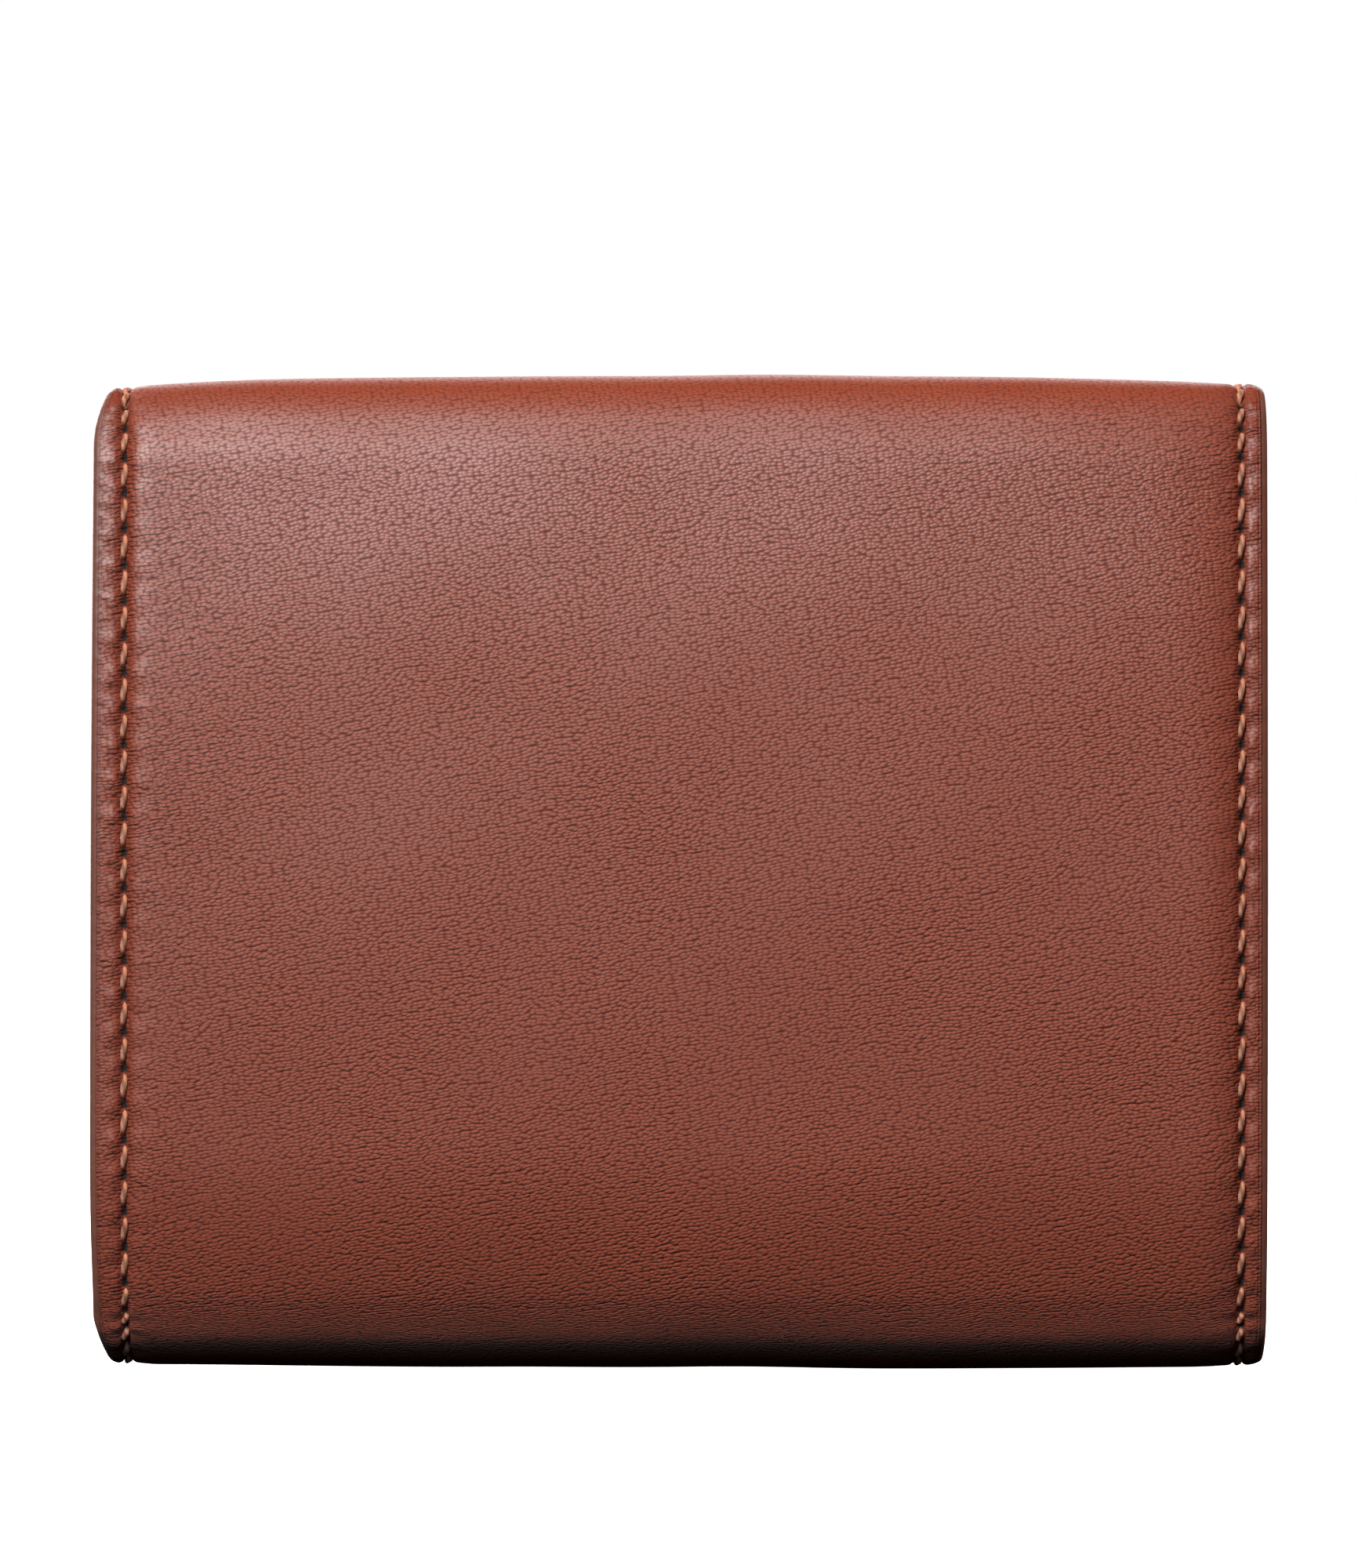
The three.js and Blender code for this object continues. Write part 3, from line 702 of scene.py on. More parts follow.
def leather_finish(name, deep, body, light, grain=1.0, coat=1.0):
    """Smooth calf with a fine printed grain: small full beads that lie across the width in slightly
    rising rows, with painted shade darkening the creases between them. The cut edge is painted, with a
    line pressed beside it, and the holes are painted near black inside, as painted shade. grain and coat
    are shares of the full depth and the full gloss."""
    f = Finish(name)
    along = f.along()
    wander = f.noise(along, 17.0, 2.0, out="Color", kind="2D")
    bent = f.bend(along, wander, 0.008)
    leaning = f.scaled(bent, (1.0, 1.0, 1.0), turn=-0.16)
    lying = f.scaled(leaning, (205.0, 335.0, 1.0))
    cells = f.node(
        "ShaderNodeTexVoronoi",
        {"voronoi_dimensions": "2D", "feature": "F1"},
        {"Vector": lying, "Scale": 1.0, "Randomness": 0.66},
        "Distance",
    )
    fine = f.noise(f.scaled(leaning, (380.0, 720.0, 1.0)), 1.0, 2.0, kind="2D")
    drawn = f.noise(f.scaled(leaning, (60.0, 330.0, 1.0)), 1.0, 3.0, kind="2D")
    patches = f.noise(along, 6.0, 3.0, kind="2D")
    strong = patches.between(0.3, 0.75) * 0.5 + 0.7
    shaded_creases = cells.between(0.34, 0.66) * (fine * 0.5 + 0.7)
    beads = 1.0 - cells * cells * 1.6
    wrinkle = f.mark("wrinkle")
    relief = beads + fine * 0.2 + drawn * (0.13 + wrinkle * 1.9)
    distance = f.mark("to_edge")
    paint = 1.0 - distance.between(0.50, 0.62)
    line = distance.between(0.66, 0.76) * (1.0 - distance.between(0.80, 0.92))
    hole = f.mark("hole").between(0.12, 0.6)
    # share of painted shade beside the seams
    beside = f.mark("seam_shade")
    leather_only = 1.0 - paint
    # painted shade: the creases between the beads are darkened in the base colour
    tone = f.mix(shaded_creases * 0.6 + (1.0 - fine) * 0.15, body, deep)
    tone = f.mix(patches.between(0.35, 0.8) * 0.3, tone, light)
    # painted shade beside the seams, and the real darker tone of the pressed line by the edge
    tone = f.mix(beside * 0.3 + line * 0.5, tone, deep)
    speckle = f.noise(f.placed(), 900.0, 3.0)
    painted = f.mix(speckle, colour(0.12, 0.030, 0.016), colour(0.2, 0.062, 0.038))
    tone = f.mix(paint, tone, painted)
    # painted shade: the stitch holes are painted near black
    tone = f.mix(hole, tone, colour(0.006, 0.002, 0.001))
    sheen = (1.0 - shaded_creases * 0.6) * (1.0 - hole) * (1.0 - beside * 0.55) * f.mark("shine")
    return f.surface({
        "Base Color": tone,
        "Roughness": 0.84 - sheen * 0.4 + patches * 0.06,
        "Normal": f.bump(relief * strong * leather_only - line * 0.5, 0.00011 * grain),
        "Specular IOR Level": 0.3,
        "Coat Weight": sheen * 0.55 * coat,
        "Coat Roughness": 0.42,
    })


def cloth_finish():
    """Fine dark twill: ribs at a slant, crossed by the threads of the weave."""
    f = Finish("lining_twill")
    along = f.along()
    ribs = f.node(
        "ShaderNodeTexWave",
        {"wave_type": "BANDS", "bands_direction": "DIAGONAL", "wave_profile": "SIN"},
        {"Vector": f.scaled(along, (60.0, 60.0, 1.0)), "Scale": 1.0, "Distortion": 1.2, "Detail": 2.0},
        "Fac",
    )
    crossing = f.node(
        "ShaderNodeTexWave",
        {"wave_type": "BANDS", "bands_direction": "X", "wave_profile": "SIN"},
        {"Vector": f.scaled(along, (110.0, 110.0, 1.0)), "Scale": 1.0, "Distortion": 0.6},
        "Fac",
    )
    fuzz = f.noise(along, 900.0, 2.0, kind="2D")
    height = ribs * 0.7 + crossing * 0.2 + fuzz * 0.3
    tone = f.mix(height.between(0.2, 1.0), colour(0.030, 0.013, 0.007), colour(0.105, 0.048, 0.025))
    return f.surface({
        "Base Color": tone,
        "Roughness": 0.82 - 0.1 * ribs,
        "Normal": f.bump(height, 0.00007),
        "Sheen Weight": 0.05,
        "Specular IOR Level": 0.2,
    })


def thread_finish():
    """Waxed, twisted thread: strands that wind round it, with a painted highlight on top of each strand
    and painted shade between.
    """
    f = Finish("waxed_thread")
    along = f.along()
    strands = f.node(
        "ShaderNodeTexWave",
        {"wave_type": "BANDS", "bands_direction": "DIAGONAL", "wave_profile": "SIN"},
        {"Vector": along, "Scale": 2 * math.pi / 10, "Distortion": 0.35, "Detail": 1.0},
        "Fac",
    )
    fuzz = f.noise(f.placed(), 5200.0, 3.0)
    batch = f.noise(f.placed(), 260.0, 1.0)
    # painted highlight on the strands' tops and painted shade between them
    lit = (strands * 0.65 + fuzz * 0.35).between(0.15, 0.85)
    tone = f.mix(lit, colour(0.15, 0.040, 0.016), colour(0.54, 0.19, 0.085))
    tone = f.mix(batch.between(0.35, 0.7) * 0.35, tone, colour(0.60, 0.25, 0.13))
    return f.surface({
        "Base Color": tone,
        "Roughness": 0.62 + 0.12 * fuzz,
        "Normal": f.bump(strands * 0.7 + fuzz * 0.4, 0.00006),
        "Sheen Weight": 0.15,
    })


def metal_finish(name, tone, worn, roughness):
    """Polished plate with fine handling scratches and a duller bloom in patches."""
    f = Finish(name)
    placed = f.placed()
    bloom = f.noise(placed, 420.0, 4.0, 0.6)
    scratch = f.noise(f.scaled(placed, (900.0, 900.0, 9000.0), 0.4), 1.0, 3.0, 0.7)
    return f.surface({
        "Base Color": f.mix(bloom.between(0.45, 0.75) * 0.6, tone, worn),
        "Metallic": 1.0,
        "Roughness": bloom * 0.18 + scratch * 0.10 + roughness,
        "Normal": f.bump(scratch * 0.4 + bloom * 0.6, 0.00001),
    })


def board_finish():
    """Bonded-leather board: pale flecks and dark fibres pressed together."""
    f = Finish("bonded_board")
    placed = f.placed()
    flecks = f.noise(placed, 1400.0, 4.0, 0.65)
    fibres = f.noise(f.scaled(placed, (400.0, 400.0, 1800.0), 0.3), 1.0, 3.0)
    tone = f.mix(flecks.between(0.3, 0.7), colour(0.20, 0.12, 0.075), colour(0.42, 0.31, 0.2))
    return f.surface({
        "Base Color": f.mix(fibres.between(0.5, 0.8) * 0.5, tone, colour(0.12, 0.07, 0.045)),
        "Roughness": 0.85 + 0.1 * flecks,
        "Normal": f.bump(flecks, 0.00008),
    })


LEATHER = leather_finish(
    "calf_leather",
    # dark tone used for painted shade in the grain's creases and beside the seams, and for the pressed
    # line
    colour(0.12, 0.014, 0.004),
    colour(0.26, 0.040, 0.012),
    colour(0.30, 0.052, 0.018),
)
INNER_LEATHER = leather_finish(
    "inner_leather",
    # dark tone used for painted shade in the grain's creases, and for the pressed line
    colour(0.12, 0.018, 0.007),
    colour(0.23, 0.042, 0.018),
    colour(0.27, 0.055, 0.025),
    grain=0.8,
    coat=0.6,
)
TWILL = cloth_finish()
THREADS = thread_finish()
BRASS = metal_finish("brass_plate", colour(0.72, 0.50, 0.22), colour(0.50, 0.33, 0.15), 0.2)
STEEL = metal_finish("spring_wire", colour(0.62, 0.61, 0.6), colour(0.4, 0.38, 0.36), 0.25)
BOARD = board_finish()


def dress(piece, material):
    """Gives the piece its one material."""
    piece.data.materials.clear()
    piece.data.materials.append(material)


# ---- The leather shell, cut into its stretches ----

SHELL_NODES = {
    "coin_panel": ["shell_coin_panel"],
    "lower_spine": ["shell_lower_fold"],
    "back": ["shell_back"],
    "upper_spine": ["shell_upper_fold"],
    "flap": ["shell_flap"],
}


def make_shell():
    """The leather, one piece for each stretch of the skin's grids."""
    for name, start, stop, bodies in STRETCHES:
        first = int(np.argmin(np.abs(ROWS_AT - start)))
        last = int(np.argmin(np.abs(ROWS_AT - stop))) + 1
        part = slice(first, last)
        piece = slab(
            f"leather_{name}",
            skin["outer"][part],
            skin["inner"][part],
            skin["normals"][part],
            skin["uv"][part],
            {mark: values[part] for mark, values in skin["marks"].items()},
            cuts=(start > S_COIN_END, stop < S_FLAP_END),
        )
        dress(piece, LEATHER)
        settle(piece, bodies, start, stop, SHELL_NODES.get(name, ()))


make_shell()


# ---- Threads ----

STITCH_RINGS = 9
STITCH_SIDES = 8


def stitch_tubes(centres_t, height, facing, reach=0.385):
    """Short twisted tubes, one for each place t round the seam: each rises out of one hole, lies along
    the seam with a slight slant and dives into the next. Its section has two lobes that turn along it."""
    ring = np.linspace(-1.0, 1.0, STITCH_RINGS)[None, :, None]
    share = (np.arange(STITCH_SIDES) / STITCH_SIDES)[None, None, :]
    angle = (share - 0.25) * 2 * math.pi
    t = centres_t[:, None, None] + ring * STITCH * reach
    x, s, dx, ds = seam_place(t)
    lean = 0.17 * MM * ring
    twist = angle - ring * 2.6
    fade = np.sqrt(np.clip(1.0 - ring**8, 0.0, 1.0)) * 0.75 + 0.25
    radius = THREAD * (1.0 + 0.16 * np.cos(2 * twist)) * fade
    sideways = lean + radius * np.cos(angle)
    dive = 0.62 * MM * np.abs(ring) ** 4
    above = height(x, s) - facing * (dive - radius * np.sin(angle))
    points = on_skin(x + ds * sideways, s - dx * sideways, above)
    uv = np.stack(np.broadcast_arrays(share * 2.0, -ring * 2.6 / math.pi, t)[:2], axis=-1)
    return points, uv


def tube_faces(count, rings, sides):
    """The quads of many open tubes, and of the flat ends that close them."""
    numbers = (np.arange(count), np.arange(rings - 1), np.arange(sides))
    tube, ring, side = np.meshgrid(*numbers, indexing="ij")
    base = tube * rings * sides
    a = base + ring * sides + side
    b = base + ring * sides + (side + 1) % sides
    walls = np.stack([a, b, b + sides, a + sides], axis=-1).reshape(-1, 4)
    ends = []
    for end, order in ((0, -1), (rings - 1, 1)):
        first = np.arange(count)[:, None] * rings * sides + end * sides
        for k in range(0, sides - 2, 2):
            quad = first + np.array([0, k + 1, k + 2, k + 3]) % sides
            ends.append(quad[:, ::order])
    return np.concatenate([walls, *ends])


def outer_bed(x, s):
    """Where the thread's middle lies over the outer face."""
    return swell(x, s) + ripples(x, s) - 0.17 * MM


def make_stitches(name, height, facing, replaced=None):
    """All the stitches of the seam, in one piece for each stretch of the skin. facing is 1 on the outer
    face and -1 on the lining."""
    places = (np.arange(STITCHES) + 0.5) * STITCH
    x, s, _, _ = seam_place(places)
    for stretch, start, stop, bodies in STRETCHES:
        here = places[(s >= start) & (s < stop)]
        points, uv = stitch_tubes(here, height, facing)
        faces = tube_faces(len(here), STITCH_RINGS, STITCH_SIDES)
        if facing > 0:
            faces = faces[:, ::-1]
        piece = build(f"{name}_{stretch}", points.reshape(-1, 3), faces, uv=uv.reshape(-1, 2))
        dress(piece, THREADS)
        settle(piece, bodies, start, stop, (replaced or {}).get(stretch, ()))


SEAM_NODES = {
    "coin_panel": ["seam_coin_panel"],
    "lower_spine": ["seam_left_lower_fold", "seam_right_lower_fold"],
    "back": ["seam_left_back", "seam_right_back"],
    "upper_spine": ["seam_left_upper_fold", "seam_right_upper_fold"],
    "flap": ["seam_flap"],
}
make_stitches("stitches", outer_bed, 1.0, SEAM_NODES)


# ---- The linings, which follow the skin inside ----


def lining_depth(x, s):
    """How far the lining's outer face is under the skin's: it lies against the leather at the edges and
    over the folds, and on the stiffening board elsewhere."""
    raised_half = 48.5 * MM
    inside = ease(0.0, 1.5 * MM, raised_half - np.abs(x))
    back = ease(0.0, 3 * MM, s) * (1 - ease(BACK_LENGTH - 3 * MM, BACK_LENGTH, s))
    flap = ease(S_FLAP, S_FLAP + 3 * MM, s) * (1 - ease(S_FLAP_END - 5 * MM, S_FLAP_END - 3.5 * MM, s))
    coin = ease(S_COIN_END + 3.5 * MM, S_COIN_END + 5 * MM, s) * (1 - ease(S_COIN - 3 * MM, S_COIN, s))
    fitted = LINING_DEPTH - SHELL - GLUE
    return SHELL + GLUE + fitted * inside * (back + flap + coin)


LINING_NODES = {
    "coin_panel": ["lining_coin_panel"],
    "lower_spine": ["lining_lower_fold"],
    "back": ["lining_back"],
    "upper_spine": ["lining_upper_fold"],
    "flap": ["lining_flap"],
}
LINING_INSET = 0.45 * MM


def make_linings():
    """The cloth of each stretch: two grids that follow the skin at the lining's depth, a lining's
    thickness apart, inset a little from the leather's edge."""
    for name, start, stop, bodies in STRETCHES:
        is_first = start == S_COIN_END
        is_last = stop == S_FLAP_END
        begin = start + LINING_INSET * is_first
        end = stop - LINING_INSET * is_last
        bends = thin(FREE_CORNER * (1 - np.sin(np.linspace(0, math.pi / 2, 12))), 0.02 * MM)
        rows = np.linspace(begin, end, max(4, round((end - begin) / (0.8 * MM))))
        rows = np.concatenate([rows, begin + bends * is_first, end - bends * is_last])
        s = thin(rows, 0.03 * MM)[:, None]
        close = 1.6 * MM * np.linspace(0, 1, 8) ** 1.5
        middle = np.linspace(-HALF + 2 * MM, HALF - 2 * MM, 90)
        columns = np.concatenate([-HALF + close, middle, HALF - close])
        share = thin(columns, 0.01 * MM)[None, :] / HALF
        left, right = edge_reach(s)
        x = (left + right) / 2 + share * ((right - left) / 2 - LINING_INSET)
        s = np.broadcast_to(s, x.shape)
        cloth = 0.03 * MM * np.sin(x / MM * 0.23 + 1.0) * np.sin(s / MM * 0.19)
        height = swell(x, s) + cloth - lining_depth(x, s)
        top = on_skin(x, s, height)
        low = on_skin(x, s, height - LINING)
        marks = {"to_edge": to_edge(x, s) / MM}
        uv = np.stack([x, s], axis=-1) / UV_LENGTH
        cuts = (not is_first, not is_last)
        piece = slab(f"cloth_{name}", top, low, surface_normals(top), uv, marks, cuts)
        dress(piece, TWILL)
        settle(piece, bodies, start, stop, LINING_NODES.get(name, ()))


make_linings()


def inner_bed(x, s):
    """Where the thread's middle lies under the lining's inner face."""
    return swell(x, s) - lining_depth(x, s) - LINING - 0.05 * MM


make_stitches("inner_stitches", inner_bed, -1.0)


# ---- Leaves: pockets, boards and the parts of the coin pocket ----


def inner_leather(name, node, body, top, under, uv, distance):
    """A closed sheet of the inner leather, which moves with the body and stands for the node. It has no
    holes and no wrinkles, and an even shine."""
    nothing = np.zeros_like(distance)
    marks = {
        "to_edge": distance,
        "hole": nothing,
        "wrinkle": nothing,
        "shine": nothing + EVEN_SHINE,
        "seam_shade": nothing,
    }
    piece = slab(name, top, under, surface_normals(top), uv, marks)
    dress(piece, INNER_LEATHER)
    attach(piece, body)
    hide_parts(node)


def leaf(name, node, body, corner, corners="top"):
    """A flat sheet as big as its node, with rounded edges all round, round corners at its upper end or
    at both ends, a slow wave in its faces, and a line pressed along its mouth."""
    low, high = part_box(node)
    thick = high.y - low.y
    radius = 0.48 * thick
    close = radius * (1 - np.cos(np.linspace(0, math.pi / 2, 5)))
    turn = corner * (1 - np.sin(np.linspace(0, math.pi / 2, 9)))
    width = high.x - low.x
    reach = high.z - low.z
    middle = np.linspace(2 * radius, width - 2 * radius, 90)
    columns = thin(np.concatenate([close, middle, width - close]), 0.01 * MM)
    pressed = np.linspace(reach - 2.4 * MM, reach - 0.8 * MM, 13)
    between = np.linspace(2 * radius, reach - 2 * radius, 44)
    rows = np.concatenate([close, turn, between, pressed, reach - close, reach - turn])
    share = (columns[None, :] / width) * 2 - 1
    z = thin(rows, 0.02 * MM)[:, None]
    from_top = np.clip(reach - z, 0, corner)
    from_low = np.clip(z, 0, corner) if corners == "both" else corner
    short = corner - np.minimum(from_top, from_low)
    pulled = corner - np.sqrt(np.maximum(corner**2 - short**2, 0))
    x = (low.x + high.x) / 2 + share * (width / 2 - pulled)
    z = np.broadcast_to(z, x.shape)
    from_sides = np.minimum(x - low.x - pulled, high.x - pulled - x)
    distance = np.maximum(np.minimum(from_sides, np.minimum(z, reach - z)), 0)
    inside = ease(0, 6 * MM, distance)
    wave = np.sin(x / MM * 0.09 + 0.7) + 0.7 * np.sin(x / MM * 0.043 - z / MM * 0.11)
    wave = 0.03 * MM * inside * wave
    crease = 0.16 * thick * bell(reach - z - 1.6 * MM, 0.3 * MM)
    drop = shoulder_drop(distance, radius)
    top = np.stack([x, low.y + wave + drop + crease, low.z + z], axis=-1)
    under = np.stack([x, high.y + wave - drop - crease, low.z + z], axis=-1)
    uv = np.stack([x, z + low.z], axis=-1) / UV_LENGTH
    inner_leather(name, node, body, top, under, uv, distance / MM * THIN_EDGE)


leaf("divider", "note_divider", "back", 3 * MM)
for number in (1, 2, 3):
    leaf(f"pocket_{number}", f"card_pocket_{number}", "back", 1.5 * MM)
leaf("slip_pocket", "slip_pocket_flap", "flap", 1.5 * MM, "both")
leaf("coin_wall", "coin_pocket_wall", "coin_panel", 5 * MM)


def make_boards():
    """The stiffening boards, which lie against the leather's inner face and end short of its edges."""
    clear = 5.5 * MM
    gap = 0.4 * MM
    cut = [
        ("back", gap, BACK_LENGTH - gap),
        ("flap", S_FLAP + gap, S_FLAP_END - clear),
        ("coin_panel", S_COIN_END + clear, S_COIN - gap),
    ]
    for body, start, stop in cut:
        x = np.linspace(-HALF + clear, HALF - clear, 80)[None, :]
        s = np.linspace(start, stop, 60)[:, None]
        x, s = np.broadcast_arrays(x, s)
        height = swell(x, s) - SHELL - GLUE
        top = on_skin(x, s, height)
        low = on_skin(x, s, height - PAD)
        uv = np.stack([x, s], axis=-1) / UV_LENGTH
        piece = slab(f"board_{body}", top, low, surface_normals(top), uv, {})
        dress(piece, BOARD)
        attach(piece, body)
        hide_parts(f"stiffener_{body}")


make_boards()


def gusset(name, node, line, rows):
    """A strip of leather: a line of points in X and Y, half a thickness to each side of it and thinner
    at its ends, drawn up through the heights in rows."""
    thick = 0.6 * MM
    ahead = unit(np.gradient(line, axis=0))
    out = np.stack([ahead[:, 1], -ahead[:, 0]], axis=1)
    z = rows[:, None]
    shape = (len(rows), len(line))
    from_side = np.minimum(np.arange(len(line)), np.arange(len(line))[::-1])
    narrow = 0.5 + 0.5 * ease(0, 2, from_side)
    faces = []
    for side in (1, -1):
        place = line + side * out * thick / 2 * narrow[:, None]
        x = np.broadcast_to(place[None, :, 0], shape)
        y = np.broadcast_to(place[None, :, 1], shape)
        faces.append(np.stack([x, y, np.broadcast_to(z, shape)], axis=-1))
    travelled = np.concatenate([[0], np.cumsum(np.linalg.norm(np.diff(line, axis=0), axis=1))])
    uv = np.stack(np.broadcast_arrays(travelled[None, :], z), axis=-1) / UV_LENGTH
    distance = np.minimum(rows - rows[0], rows[-1] - rows)[:, None] / MM * THIN_EDGE + np.zeros(shape)
    inner_leather(name, node, "coin_panel", faces[0], faces[1], uv, distance)


def make_coin_pocket():
    """The gussets, each folded inwards once with a round fold, and the pocket's base."""
    for side, sign in (("left", -1.0), ("right", 1.0)):
        node = f"coin_pocket_gusset_{side}"
        low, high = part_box(node)
        outer = max(abs(low.x), abs(high.x)) - 0.3 * MM
        inner = min(abs(low.x), abs(high.x)) + 0.3 * MM
        y = np.linspace(low.y, high.y, 25)
        away = np.abs(2 * (y - low.y) / (high.y - low.y) - 1)
        folded = np.sqrt(away**2 + 0.012) / math.sqrt(1.012)
        line = np.stack([sign * (inner + (outer - inner) * folded), y], axis=1)
        rows = np.linspace(low.z, high.z, 30)
        gusset(f"gusset_{side}", node, line, rows)
    low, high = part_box("coin_pocket_base")
    y = np.linspace(low.y + 0.3 * MM, high.y - 0.3 * MM, 12)
    sag = 0.12 * MM * np.sin(np.linspace(0, math.pi, 12))
    x = np.linspace(low.x, high.x, 60)
    middle = (low.z + high.z) / 2
    grid_x, grid_y = np.meshgrid(x, y)
    level = np.broadcast_to(sag[:, None], grid_x.shape)
    top = np.stack([grid_x, grid_y, middle + 0.3 * MM - level], axis=-1)
    under = np.stack([grid_x, grid_y, middle - 0.3 * MM - level], axis=-1)
    uv = np.stack([grid_x, grid_y], axis=-1) / UV_LENGTH
    unpainted = np.full(grid_x.shape, 3.0)
    inner_leather("pocket_base", "coin_pocket_base", "coin_panel", top, under, uv, unpainted)


make_coin_pocket()


# ---- The press stud ----


def lathe(name, profile, node, body):
    """A turned piece of brass: rings of the profile's (radius, depth) points round the stud's axis, which
    lies along Y. The ends of the profile are next to the axis and are closed."""
    sides = 72
    angle = np.arange(sides) / sides * 2 * math.pi
    profile = np.array(profile)
    radius = np.maximum(profile[:, 0], 0.03 * MM)[:, None]
    x = radius * np.cos(angle)
    z = STUD_Z + radius * np.sin(angle)
    y = np.broadcast_to(profile[:, 1][:, None], x.shape)
    points = np.stack([x, y, z], axis=-1).reshape(-1, 3)
    piece = build(name, points, tube_faces(1, len(profile), sides)[:, ::-1])
    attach(piece, body)
    dress(piece, BRASS)
    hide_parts(node)


def arc(centre, radius, start, stop, count=8):
    """Points of an arc in a profile, angles in degrees from the outward direction towards +Y."""
    angle = np.radians(np.linspace(start, stop, count))
    return [(centre[0] + radius * math.cos(a), centre[1] + radius * math.sin(a)) for a in angle]


def make_stud():
    """The cap with its rolled rim, the socket and its open ring of wire on the flap, and the stud and its
    post on the coin panel, each from its own profile."""
    low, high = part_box("snap_cap")
    face = FLAP_Y + 0.1 * MM
    out = high.x
    rim = 0.4 * MM
    dome_radius = (out - rim) ** 2 / (2 * (high.y - face - rim * 1.5)) + (high.y - face - rim * 1.5) / 2
    span = math.degrees(math.asin((out - 1.1 * MM) / dome_radius))
    dome = arc((0.0, high.y - dome_radius), dome_radius, 90 - span, 90, 22)
    shank = 1.1 * MM
    rolled = arc((out - rim, face + rim), rim, -90, 120, 12)
    profile = [(0, low.y), (shank, low.y), (shank, face), *rolled, *dome]
    lathe("cap", profile, "snap_cap", "flap")
    low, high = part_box("snap_socket")
    out = high.x
    lip = arc((out - 0.3 * MM, low.y + 0.3 * MM), 0.3 * MM, -180, 0, 10)
    step = [(3.4 * MM, high.y - 0.35 * MM), (3.4 * MM, low.y + 0.42 * MM), (3.9 * MM, low.y + 0.16 * MM)]
    back = [(out - 0.05 * MM, high.y - 0.12 * MM), (out - 0.2 * MM, high.y), (0, high.y)]
    profile = [(0, high.y - 0.35 * MM), *step, *lip, *back]
    lathe("socket", profile, "snap_socket", "flap")
    low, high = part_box("snap_stud")
    lean = high.y - low.y
    flange = arc((high.x - 0.2 * MM, low.y + 0.2 * MM), 0.2 * MM, -90, 90, 8)
    neck = [(2.2 * MM, low.y + 0.42 * MM), (1.7 * MM, low.y + 0.5 * MM), (1.6 * MM, low.y + 0.5 * lean)]
    head = arc((1.75 * MM, low.y + 0.72 * lean), 0.3 * MM, -40, 80, 8)
    profile = [(0, low.y), *flange, *neck, *head, (1.3 * MM, high.y), (0, high.y)]
    lathe("stud", profile, "snap_stud", "coin_panel")
    low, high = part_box("snap_post")
    flange = arc((high.x - 0.2 * MM, low.y + 0.2 * MM), 0.2 * MM, -90, 90, 8)
    profile = [(0, low.y), *flange, (1.1 * MM, low.y + 0.42 * MM), (1.1 * MM, high.y), (0, high.y)]
    lathe("post", profile, "snap_post", "coin_panel")
    low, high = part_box("snap_spring")
    wire = (high.y - low.y) / 2
    ring_count = 61
    wire_sides = 10
    rings = np.radians(np.linspace(-170, 170, ring_count))[:, None]
    turn = (np.arange(wire_sides) / wire_sides * 2 * math.pi)[None, :]
    radius = high.x - wire + wire * np.cos(turn)
    y = (low.y + high.y) / 2 + wire * np.sin(turn) + 0 * rings
    points = np.stack([radius * np.cos(rings), y, STUD_Z + radius * np.sin(rings)], axis=-1)
    piece = build("spring", points.reshape(-1, 3), tube_faces(1, ring_count, wire_sides))
    dress(piece, STEEL)
    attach(piece, "flap")
    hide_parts("snap_spring")


make_stud()

# ---- Stage ----


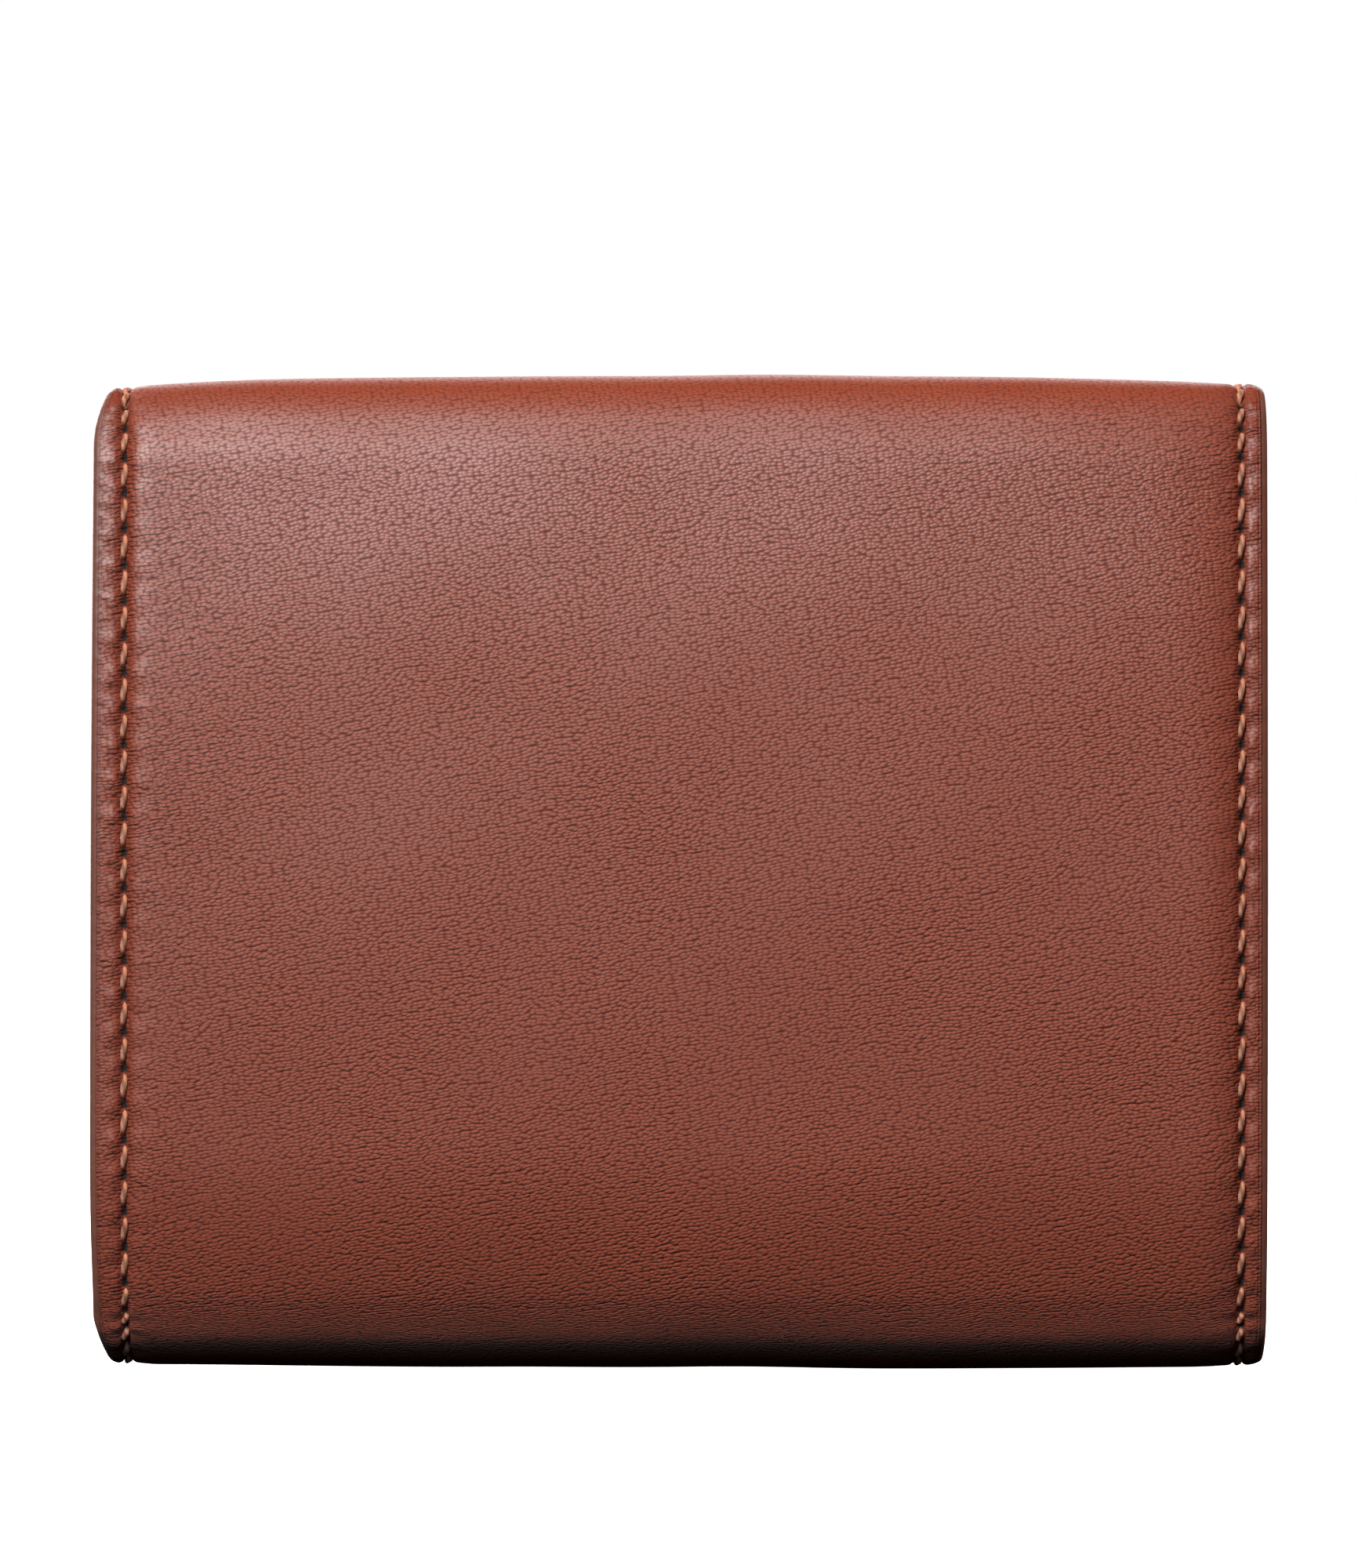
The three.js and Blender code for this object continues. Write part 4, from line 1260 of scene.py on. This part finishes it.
def add_light(name, place, target, size, power, has_shade=True, has_sheen=True):
    """A soft rectangle of light. One lamp gives the shading without a sheen, another only the sheen."""
    data = bpy.data.lights.new(name, "AREA")
    data.shape = "RECTANGLE"
    data.size, data.size_y = size
    data.energy = power
    lamp = bpy.data.objects.new(name, data)
    lamp.location = place
    lamp.rotation_euler = (Vector(target) - Vector(place)).to_track_quat("-Z", "Y").to_euler()
    lamp.visible_camera = False
    lamp.visible_diffuse = has_shade
    lamp.visible_glossy = has_sheen
    bpy.context.scene.collection.objects.link(lamp)


def make_stage():
    """A pale floor and a white surround, which only the camera sees, and soft lamps."""
    middle = (0.0, 0.0, HEIGHT / 2)
    side = 4.0
    corners = np.array([[-side, -side, 0], [side, -side, 0], [side, side, 0], [-side, side, 0]])
    floor = build("floor", corners - [0, 0, 0.05 * MM], np.array([[0, 1, 2, 3]]), smooth=False)
    pale = Finish("pale_floor").surface({
        "Base Color": colour(0.9, 0.9, 0.9),
        "Roughness": 0.9,
        "Emission Color": colour(1.0, 1.0, 1.0),
        "Emission Strength": 1.2,
    })
    dress(floor, pale)
    floor.visible_diffuse = False
    floor.visible_glossy = False
    world = bpy.data.worlds.new("surround")
    world.use_nodes = True
    world.node_tree.nodes["Background"].inputs["Color"].default_value = (1.0, 1.0, 1.0, 1.0)
    world.node_tree.nodes["Background"].inputs["Strength"].default_value = 1.0
    world.cycles_visibility.diffuse = False
    world.cycles_visibility.glossy = False
    bpy.context.scene.world = world
    add_light("high", (-0.24, -0.83, 1.0), middle, (0.5, 0.5), 24.5, has_sheen=False)
    add_light("low", (0.05, -1.0, 0.10), middle, (0.8, 0.2), 0.4, has_sheen=False)
    add_light("sheen", (-0.34, -0.83, 0.50), middle, (0.5, 0.34), 27.0, has_shade=False)
    add_light("behind", (-0.2, 1.0, 0.35), middle, (1.4, 0.9), 16.0)
    for name, x in (("left", -0.9), ("right", 0.9)):
        add_light(name, (x, 0.3, 0.4), middle, (0.5, 0.5), 5.0, has_sheen=False)
    bpy.context.scene.view_settings.view_transform = "Standard"


make_stage()
